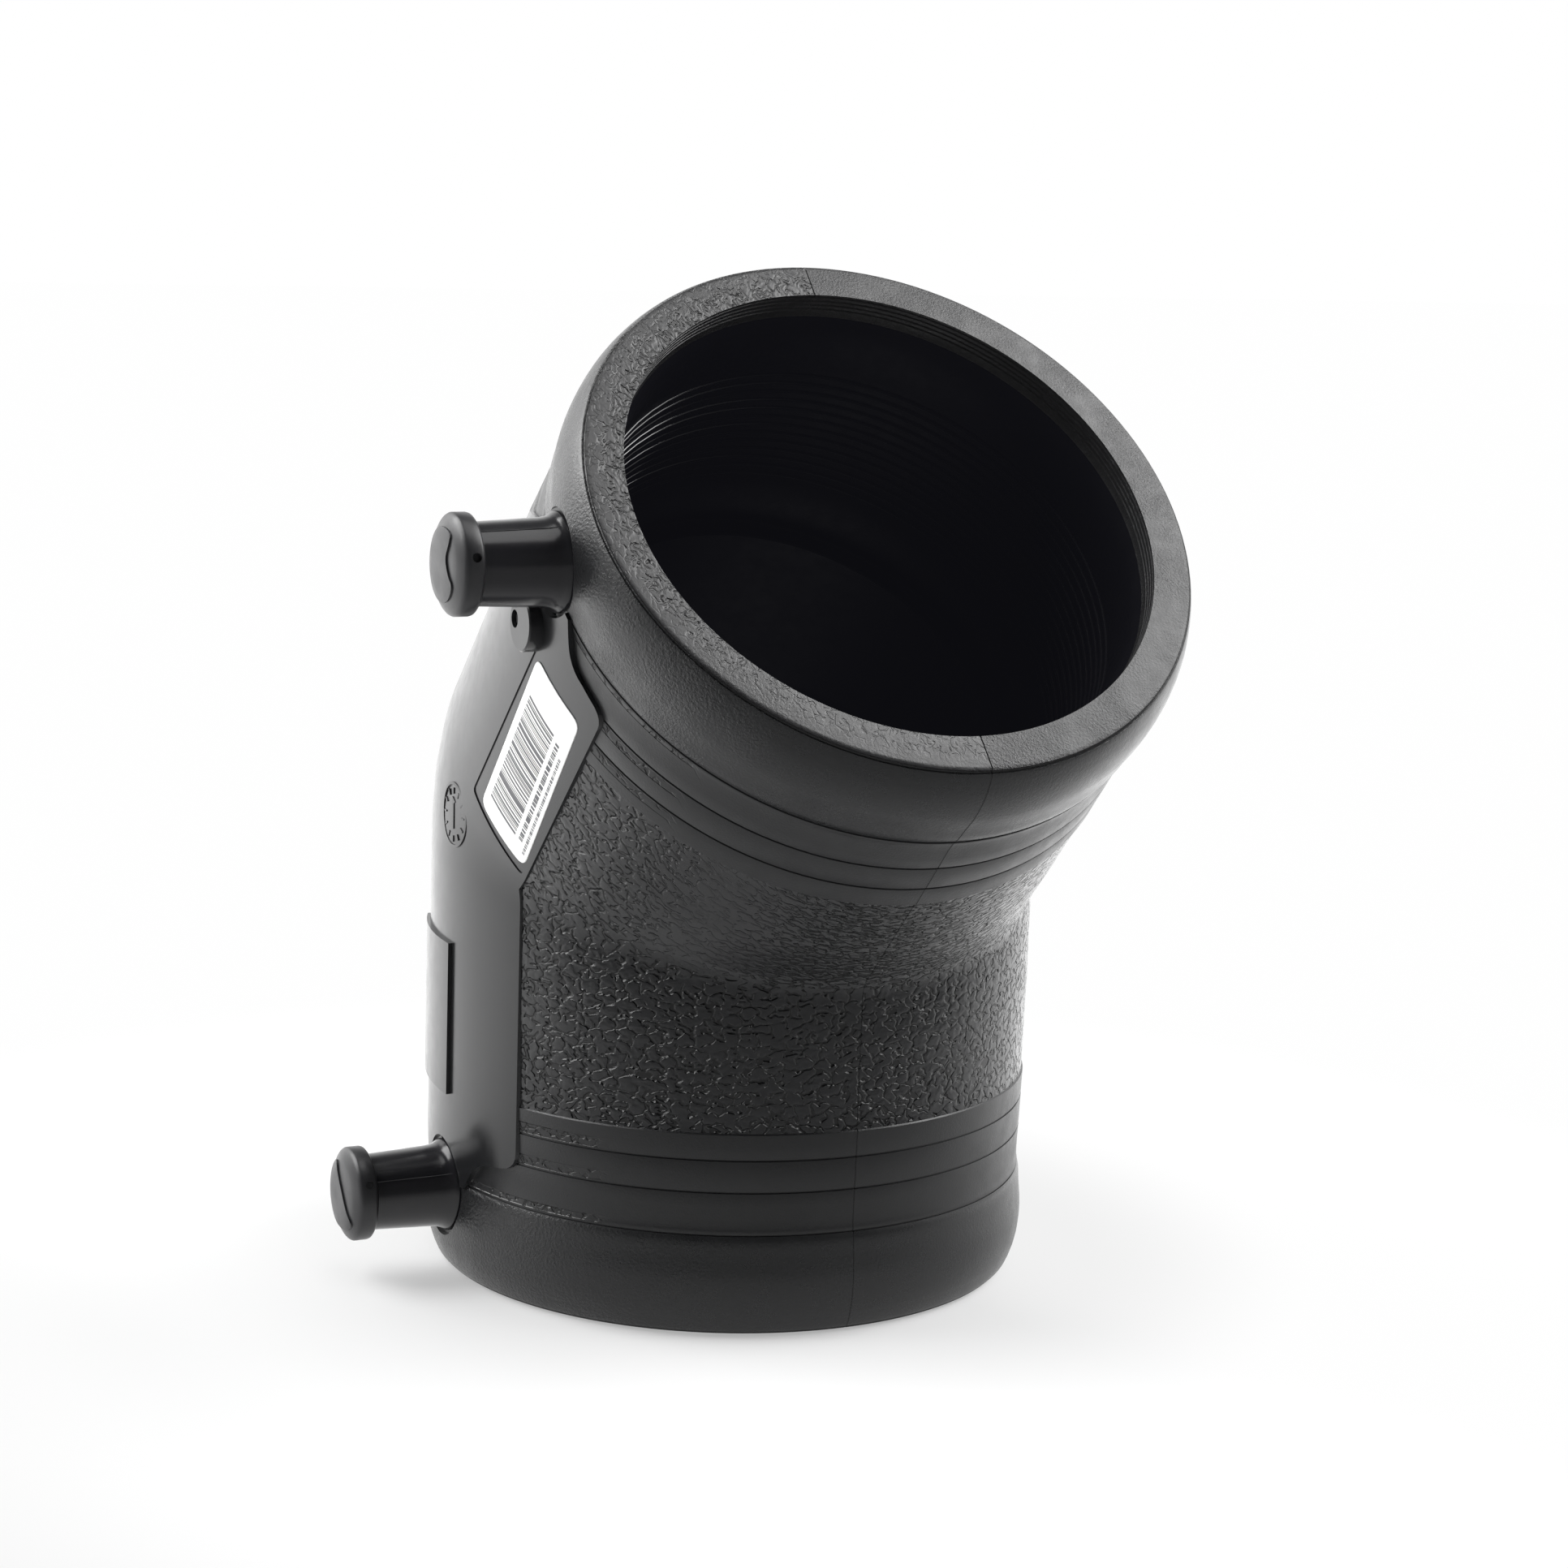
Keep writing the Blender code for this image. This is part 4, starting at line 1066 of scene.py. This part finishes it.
# %% Windings
WIRE_RADIUS = 0.4 * MM
WINDING_RADIUS = 45.75 * MM
WINDING_START, WINDING_END = 18.4 * MM, 46.8 * MM
WINDING_PITCH = 2.2 * MM
WINDING_TURNS, WINDING_STEPS = 13, 72
WIRE_SIDES = 12


def make_winding():
    """Winds one socket on the plain leg, with the run to the middle of the bend."""
    mesh = bmesh.new()
    upright, to_seat = Matrix.Rotation(math.pi / 2, 3, "X"), Matrix.Rotation(-math.pi / 2, 3, "Z")
    bmesh.ops.create_circle(mesh, cap_ends=True, radius=WIRE_RADIUS, segments=WIRE_SIDES)
    bmesh.ops.rotate(mesh, cent=(0, 0, 0), matrix=upright, verts=mesh.verts)
    bmesh.ops.translate(mesh, vec=(WINDING_RADIUS, 0.0, WINDING_START), verts=mesh.verts)
    bmesh.ops.rotate(mesh, cent=(0, 0, 0), matrix=to_seat, verts=mesh.verts)
    bmesh.ops.spin(mesh, geom=mesh.faces[:], cent=(0, 0, 0), axis=(0, 0, 1),
                   angle=math.tau * WINDING_TURNS, steps=WINDING_TURNS * WINDING_STEPS,
                   dvec=(0, 0, WINDING_PITCH / WINDING_STEPS))
    run = LEG_LENGTH - WINDING_END
    run_middle = Matrix.Translation((0.0, -WINDING_RADIUS, LEG_LENGTH - run / 2))
    bmesh.ops.create_cone(mesh, cap_ends=True, segments=WIRE_SIDES, radius1=WIRE_RADIUS,
                          radius2=WIRE_RADIUS, depth=run, matrix=run_middle)
    bmesh.ops.recalc_face_normals(mesh, faces=mesh.faces)
    return mesh


windings = to_leg(make_winding(), "lower")
append_mesh(windings, to_leg(make_winding(), "upper"))
add_piece("windings", windings, [winding_skin], "heating_coil", sharp=60.0)

# %% [markdown]
# ## Terminals
# Each terminal is a glossy sleeve round a brass pin, closed by a satin dust cap. All three are
# turned pieces, so each is one profile with its small rounds written out: heights are measured
# from the leg's axis. The sleeve flares at its foot, and the cap has a hollow plug.

# %% Terminal profiles and finishes
SLEEVE_PROFILE = [(6.75, 68.5), (6.78, 67.0), (6.85, 65.5), (6.91, 64.0), (6.97, 62.5),
                  (7.05, 61.0), (7.12, 59.5), (7.18, 58.0), (7.26, 56.8), (7.42, 55.8),
                  (7.75, 55.0), (8.15, 54.5), (8.25, 54.1), (8.25, 53.75), (5.9, 53.75),
                  (5.9, 51.8), (2.3, 51.8), (2.3, 56.5), (4.9, 56.5), (4.9, 68.2), (5.2, 68.5)]
CAP_PROFILE = [(0.0, 73.36), (2.2, 73.35), (4.4, 73.28), (5.6, 73.16), (6.3, 72.98),
               (7.1, 72.62), (7.5, 72.40), (7.75, 72.25), (8.1, 71.95), (8.3, 71.60), (8.3, 69.5),
               (8.2, 69.15), (7.9, 68.9), (7.6, 68.8), (4.6, 68.8), (4.6, 62.8), (3.4, 62.8),
               (3.4, 68.8), (0.0, 68.8)]
PIN_PROFILE = [(0.0, 67.1), (0.8, 67.1), (1.4, 66.9), (1.85, 66.5), (2.0, 66.0), (2.0, 51.5),
               (3.6, 51.5), (3.6, 50.5), (2.0, 50.5), (2.0, 48.5), (0.0, 48.5)]
TERMINAL_STEPS = 96

sleeve_skin = make_finish("glossy sleeve", (0.013, 0.013, 0.015), 0.20, sand_depth=0.002,
                          sand_scale=1800.0, tone=0.05)
cap_skin = make_finish("satin cap", (0.021, 0.021, 0.023), 0.36, sand_depth=0.010)
brass = make_finish("contact brass", (0.72, 0.62, 0.38), 0.30, tone=0.05)
brass.node_tree.nodes["Principled BSDF"].inputs["Metallic"].default_value = 1.0
print("a cap is", 2 * max(radius for radius, _ in CAP_PROFILE), "mm across")

# %% [markdown]
# ### Sleeve and its mould line
# Each sleeve has a raised mould line that catches the light. It is uneven on the real piece, so
# noise varies how far its points are lifted. Cuts on both sides of it keep it thin.

# %% Sleeve
SLEEVE_LINE = {"lower": 31.0, "upper": -100.0}
LINE_CUTS = (-0.16, -0.08, 0.0, 0.08, 0.16)
LINE_RISE, LINE_SWING = 0.11, 0.07
SLEEVE_BORE = 6.0 * MM
SLEEVE_FOOT = 55.0 * MM


def raise_line(mesh, angle):
    """Lifts a hair-thin line out of a turned sleeve, lengthwise at an angle."""
    turn = Matrix.Rotation(math.radians(angle), 3, "Z")
    side = turn @ Vector((0.0, 1.0, 0.0))
    ahead = turn @ Vector((1.0, 0.0, 0.0))
    for offset in LINE_CUTS:
        near = []
        for face in mesh.faces:
            centre = face.calc_center_median()
            if centre.dot(ahead) > SLEEVE_BORE and abs(centre.dot(side)) < 1.0 * MM:
                near.append(face)
        cut_plane(mesh, near, side * offset * MM, side)
    for vert in mesh.verts:
        in_line = abs(vert.co.dot(side)) < 0.01 * MM and vert.co.dot(ahead) > SLEEVE_BORE
        if in_line and vert.co.z > SLEEVE_FOOT:
            swing = LINE_SWING * noise.noise(vert.co * 900.0)
            vert.co += ahead * (LINE_RISE + swing) * MM


def make_sleeve(leg):
    """Turns a sleeve and stands it on its seat."""
    mesh = lathe(SLEEVE_PROFILE, TERMINAL_STEPS, closed=True)
    raise_line(mesh, SLEEVE_LINE[leg])
    return to_leg(stand_out(mesh, TERMINAL.x, TERMINAL.y), leg)


# %% [markdown]
# ### Cap
# A cap has a small dimple in its side, drilled here with a cone, and a low panel with a wavy edge
# on its face. The panel's outline is a few points, and cutting its corners twice rounds it.

# %% Cap
PANEL = {"lower": [(-2.6, 6.0), (-1.2, 3.8), (1.4, 0.9), (3.6, -1.9), (5.3, -3.4), (5.2, -4.6),
                   (3.0, -5.9), (-2.6, -6.0), (-5.8, -3.0), (-6.2, 1.0), (-4.8, 4.6)],
         "upper": [(-1.5, 6.3), (3.6, 5.6), (3.4, 3.4), (2.0, 1.4), (3.3, -1.3), (5.1, -2.9),
                   (2.8, -5.7), (-1.5, -6.2), (-5.2, -4.0), (-6.2, 0.0), (-4.8, 4.2)]}
PANEL_RISE = 0.30
CAP_FACE = 72.7 * MM
DIMPLE_ANGLE = {"lower": 26.0, "upper": -59.0}
DIMPLE_DEPTH = {"lower": 0.25, "upper": 0.9}


def smooth_outline(places):
    """Cuts the corners of an outline twice, which rounds it."""
    for _ in range(2):
        places = [(x0 * (1 - share) + x1 * share, z0 * (1 - share) + z1 * share)
                  for (x0, z0), (x1, z1) in sides_of(places) for share in (0.25, 0.75)]
    return places


def drill_dimple(mesh, angle, depth):
    """Drills the side of a turned cap at an angle, to a depth in millimetres."""
    drill = bmesh.new()
    place = (Matrix.Rotation(math.radians(angle), 4, "Z")
             @ Matrix.Translation(((10.3 - depth) * MM, 0.0, 70.4 * MM))
             @ Matrix.Rotation(-math.pi / 2, 4, "Y"))
    bmesh.ops.create_cone(drill, cap_ends=True, segments=24, radius1=1.0 * MM, radius2=0.7 * MM,
                          depth=4.0 * MM, matrix=place)
    tool = as_object(drill, "drill_tool")
    mesh = cut_away(mesh, [tool])
    bpy.data.objects.remove(tool)
    for face in mesh.faces:
        face.material_index = 0
    return mesh


def make_cap(leg):
    """Turns a cap, drills it, puts it on its sleeve and raises the panel on its face."""
    mesh = lathe(CAP_PROFILE, TERMINAL_STEPS)
    mesh = drill_dimple(mesh, DIMPLE_ANGLE[leg], DIMPLE_DEPTH[leg])
    to_leg(stand_out(mesh, TERMINAL.x, TERMINAL.y), leg)
    middle = LEGS[leg] @ Vector((TERMINAL.x, 0.0, TERMINAL.y))
    edge = [(middle.x + x * MM, middle.z + z * MM) for x, z in smooth_outline(PANEL[leg])]
    front = [face for face in mesh.faces
             if face.normal.y < -0.75 and face.calc_center_median().y < AXIS.y - CAP_FACE]
    raise_faces(mesh, carve_outline(mesh, edge, front), PANEL_RISE)
    return mesh


# %% [markdown]
# The pin needs nothing but its profile, so the six pieces of the two terminals can now be made.

# %% Terminal pieces
for leg in LEGS:
    pin = stand_out(lathe(PIN_PROFILE, TERMINAL_STEPS), TERMINAL.x, TERMINAL.y)
    add_piece("sleeve_" + leg, make_sleeve(leg), [sleeve_skin], "terminal_shroud_" + leg)
    add_piece("cap_" + leg, make_cap(leg), [cap_skin], "terminal_cap_" + leg)
    add_piece("pin_" + leg, to_leg(pin, leg), [brass], "terminal_pin_" + leg)

# %% [markdown]
# ## Sticker
# A white film lies in the recess. It is cut to its rounded outline from a sleeve that follows the
# round pad, and gets a little thickness. It was stuck on a little askew, so its outline is turned.

# %% Sticker outline and film
LABEL_HALF = (7.1, 19.3)
LABEL_MIDDLE = (13.1, 50.4)
LABEL_TURN = math.radians(3.0)
LABEL_MM = 54.65
LABEL_CORNER = 2.0
FILM_THICKNESS = 0.2


def label_outline():
    """The sticker's outline on the plain leg, in metres."""
    half_width, half_length = LABEL_HALF
    corners = [(-half_width, -half_length), (half_width, -half_length), (half_width, half_length),
               (-half_width, half_length)]
    places = []
    for point in round_corners(corners, LABEL_CORNER, 4):
        across = point.x * math.cos(LABEL_TURN) + point.y * math.sin(LABEL_TURN)
        deep = point.y * math.cos(LABEL_TURN) - point.x * math.sin(LABEL_TURN)
        places.append(((LABEL_MIDDLE[0] + across) * MM, (LABEL_MIDDLE[1] + deep) * MM))
    return places


label_depths = [20.0 + 1.0 * step for step in range(31)]
label = bent_skin(LABEL_MM, label_depths, 80, label_outline())
thicken(label, FILM_THICKNESS)
print("sticker has", len(label.faces), "faces")

# %% [markdown]
# The print needs a map that lies straight on the film, in millimetres from its middle, so the turn
# of the outline is undone in it.

# %% Print map
layer = label.loops.layers.uv.new("print")
for face in label.faces:
    for loop in face.loops:
        across = loop.vert.co.x / MM - LABEL_MIDDLE[0]
        deep = loop.vert.co.z / MM - LABEL_MIDDLE[1]
        loop[layer].uv = (across * math.cos(LABEL_TURN) - deep * math.sin(LABEL_TURN),
                          across * math.sin(LABEL_TURN) + deep * math.cos(LABEL_TURN))
print("print map has", len(label.faces), "faces")

# %% [markdown]
# ### Print
# The print is only fields of colour: a block of uneven bars, and two rows of small marks beside
# it. Noise along one direction, cut hard, gives bars that spell nothing.

# %% Printed film
PAPER = (0.87, 0.87, 0.86, 1.0)
INK = (0.06, 0.06, 0.07, 1.0)
FIELDS = [
    {"across": (-5.4, 3.2), "deep": (-11.9, 15.6), "scale": 2.3, "cut": (0.44, 0.50)},
    {"across": (4.1, 5.1), "deep": (-11.0, 15.0), "scale": 2.2, "cut": (0.36, 0.50)},
    {"across": (5.8, 6.4), "deep": (-9.0, 17.0), "scale": 3.4, "cut": (0.38, 0.54)}]

film = bpy.data.materials.new("printed film")
film.use_nodes = True
tree = film.node_tree
shader = tree.nodes["Principled BSDF"]
shader.inputs["Roughness"].default_value = 0.35
print_map = node(tree, "ShaderNodeUVMap", uv_map="print").outputs["UV"]
flat = node(tree, "ShaderNodeSeparateXYZ", {0: print_map}).outputs
printed = None
for field in FIELDS:
    area = math_node(tree, "MULTIPLY", band_mask(tree, flat["X"], *field["across"]),
                     band_mask(tree, flat["Y"], *field["deep"]))
    rhythm = node(tree, "ShaderNodeTexNoise",
                  {"W": flat["Y"], "Scale": field["scale"], "Detail": 0.0}, noise_dimensions="1D")
    marks = math_node(tree, "MULTIPLY", area, ramp(tree, rhythm.outputs["Fac"], *field["cut"]))
    printed = math_node(tree, "MAXIMUM", printed, marks) if printed else marks
ink = node(tree, "ShaderNodeMix", {"Factor": printed, "A": PAPER, "B": INK}, data_type="RGBA")
tree.links.new(ink.outputs["Result"], shader.inputs["Base Color"])
add_piece("sticker", to_leg(label, "upper"), [film], "barcode_label")

# %% [markdown]
# ## Stage
# The photograph was taken on a white sweep with large soft lights. The floor is one flat sheet.

# %% Floor
floor_mesh = bmesh.new()
bmesh.ops.create_grid(floor_mesh, x_segments=8, y_segments=8, size=4.0)
bmesh.ops.translate(floor_mesh, vec=(0.0, 0.0, -0.0002), verts=floor_mesh.verts)
floor_data = bpy.data.meshes.new("floor")
floor_mesh.to_mesh(floor_data)
floor_mesh.free()
floor = bpy.data.objects.new("floor", floor_data)
bpy.context.scene.collection.objects.link(floor)
print("floor has", len(floor_data.polygons), "faces")

# %% [markdown]
# ### What the floor looks like
# Near the elbow the camera sees white paper with the elbow's soft shadow, and further out plain
# white. The shadow falls to the front and to the terminal side, so the other side turns to white
# at once. The white glow that the camera sees also carries a painted shadow: it is dimmer near the
# elbow's foot and towards the terminal side. The black plastic mirrors the floor, and those
# mirrored lights change round the elbow: bright behind it, dim in front. So the floor has a second
# level that only glossy rays see, with a painted shadow that dims it close to the elbow.

# %% White sweep
sweep = bpy.data.materials.new("white sweep")
sweep.use_nodes = True
tree = sweep.node_tree
paper = tree.nodes["Principled BSDF"]
paper.inputs["Base Color"].default_value = (0.84, 0.84, 0.84, 1.0)
paper.inputs["Roughness"].default_value = 0.7
place = node(tree, "ShaderNodeTexCoord").outputs["Object"]
ray = node(tree, "ShaderNodeLightPath").outputs
far = node(tree, "ShaderNodeVectorMath", {0: place}, operation="LENGTH").outputs["Value"]
from_foot = node(tree, "ShaderNodeVectorMath", {0: place, 1: (AXIS.x, AXIS.y, 0.0)},
                 operation="DISTANCE").outputs["Value"]
ahead = dot_product(tree, place, (0.985, -0.14, 0.0))
aside = dot_product(tree, place, (0.2, -0.98, 0.0))
# Painted shadow in the reflections: the level that glossy rays see is dimmer close to the elbow.
mirrored_glow_with_painted_shadow = math_node(tree, "MULTIPLY", ramp(tree, ahead, -0.10, 0.18, 1.8, 0.27),
                         ramp(tree, far, 0.06, 0.20, 0.60, 1.0))
# Painted shadow on the glow: the level the camera sees is dimmer near the foot and to the terminal
# side.
camera_glow_with_painted_shadow = math_node(tree, "SUBTRACT", ramp(tree, from_foot, 0.065, 0.11, 0.88, 0.995),
                        ramp(tree, aside, 0.06, 0.11, 0.0, 0.12))
level = node(tree, "ShaderNodeMix", {"Factor": ray["Is Glossy Ray"], "A": camera_glow_with_painted_shadow,
                                     "B": mirrored_glow_with_painted_shadow}).outputs["Result"]
glow = node(tree, "ShaderNodeEmission", {"Color": (1, 1, 1, 1), "Strength": level})
plain_share = math_node(tree, "MAXIMUM", ramp(tree, far, 0.05, 0.22, 0.44, 1.0),
                        ramp(tree, aside, -0.065, 0.0, 0.97, 0.0))
seen = math_node(tree, "MULTIPLY", plain_share, ray["Is Camera Ray"])
mirrored = math_node(tree, "MULTIPLY", ray["Is Glossy Ray"], 0.95)
share = math_node(tree, "MAXIMUM", seen, mirrored)
blend = node(tree, "ShaderNodeMixShader", {0: share, 1: paper.outputs[0], 2: glow.outputs[0]})
tree.links.new(blend.outputs[0], tree.nodes["Material Output"].inputs["Surface"])
floor_data.materials.append(sweep)
print("white sweep has", len(tree.nodes), "nodes")

# %% [markdown]
# ### Studio round the elbow
# The camera sees a plain white world. For all other rays the world is a studio: bright behind the
# elbow, dark behind the camera, and dimmer overhead. That dark side gives the plastic its deep
# tones.

# %% World
world = bpy.data.worlds.new("studio")
world.use_nodes = True
bpy.context.scene.world = world
tree = world.node_tree
background = tree.nodes["Background"]
background.inputs["Color"].default_value = (1.0, 1.0, 1.0, 1.0)
direction = node(tree, "ShaderNodeTexCoord").outputs["Generated"]
open_side = ramp(tree, dot_product(tree, direction, (0.97, -0.24, 0.0)), -0.2, 0.66, 1.25, 0.08)
height = node(tree, "ShaderNodeSeparateXYZ", {0: direction}).outputs["Z"]
studio_level = math_node(tree, "MULTIPLY", open_side, ramp(tree, height, 0.35, 0.75, 1.0, 0.15))
ray = node(tree, "ShaderNodeLightPath").outputs
level = node(tree, "ShaderNodeMix", {"Factor": ray["Is Camera Ray"], "A": studio_level, "B": 1.0})
tree.links.new(level.outputs["Result"], background.inputs["Strength"])
print("studio has", len(tree.nodes), "nodes")

# %% [markdown]
# ### Lamps
# Four large square softboxes give the long soft highlights. All look at the middle of the elbow.
# The strongest stands to the right and above it, as the camera sees it, and the one at the upper
# left lights the grain from the side, so that its valleys show.

# %% Lamps
AIM = Vector((0.0, 0.0, 0.09))
LAMPS = [("key", (0.20, 0.85, 1.00), 0.9, 16.0),
         ("fill", (0.10, 0.15, 1.3), 0.8, 4.0),
         ("left", (-0.95, -0.55, 0.50), 0.8, 2.2),
         ("upper left", (-0.46, -0.66, 0.84), 0.8, 14.0)]

for name, place, width, power in LAMPS:
    data = bpy.data.lights.new(name, "AREA")
    data.shape = "RECTANGLE"
    data.size, data.size_y = width, width
    data.energy = power
    lamp = bpy.data.objects.new(name, data)
    bpy.context.scene.collection.objects.link(lamp)
    lamp.location = place
    lamp.rotation_euler = (AIM - Vector(place)).to_track_quat("-Z", "Y").to_euler()
bpy.context.scene.view_settings.view_transform = "Standard"
print("stage is lit by", len(bpy.data.lights), "lamps")
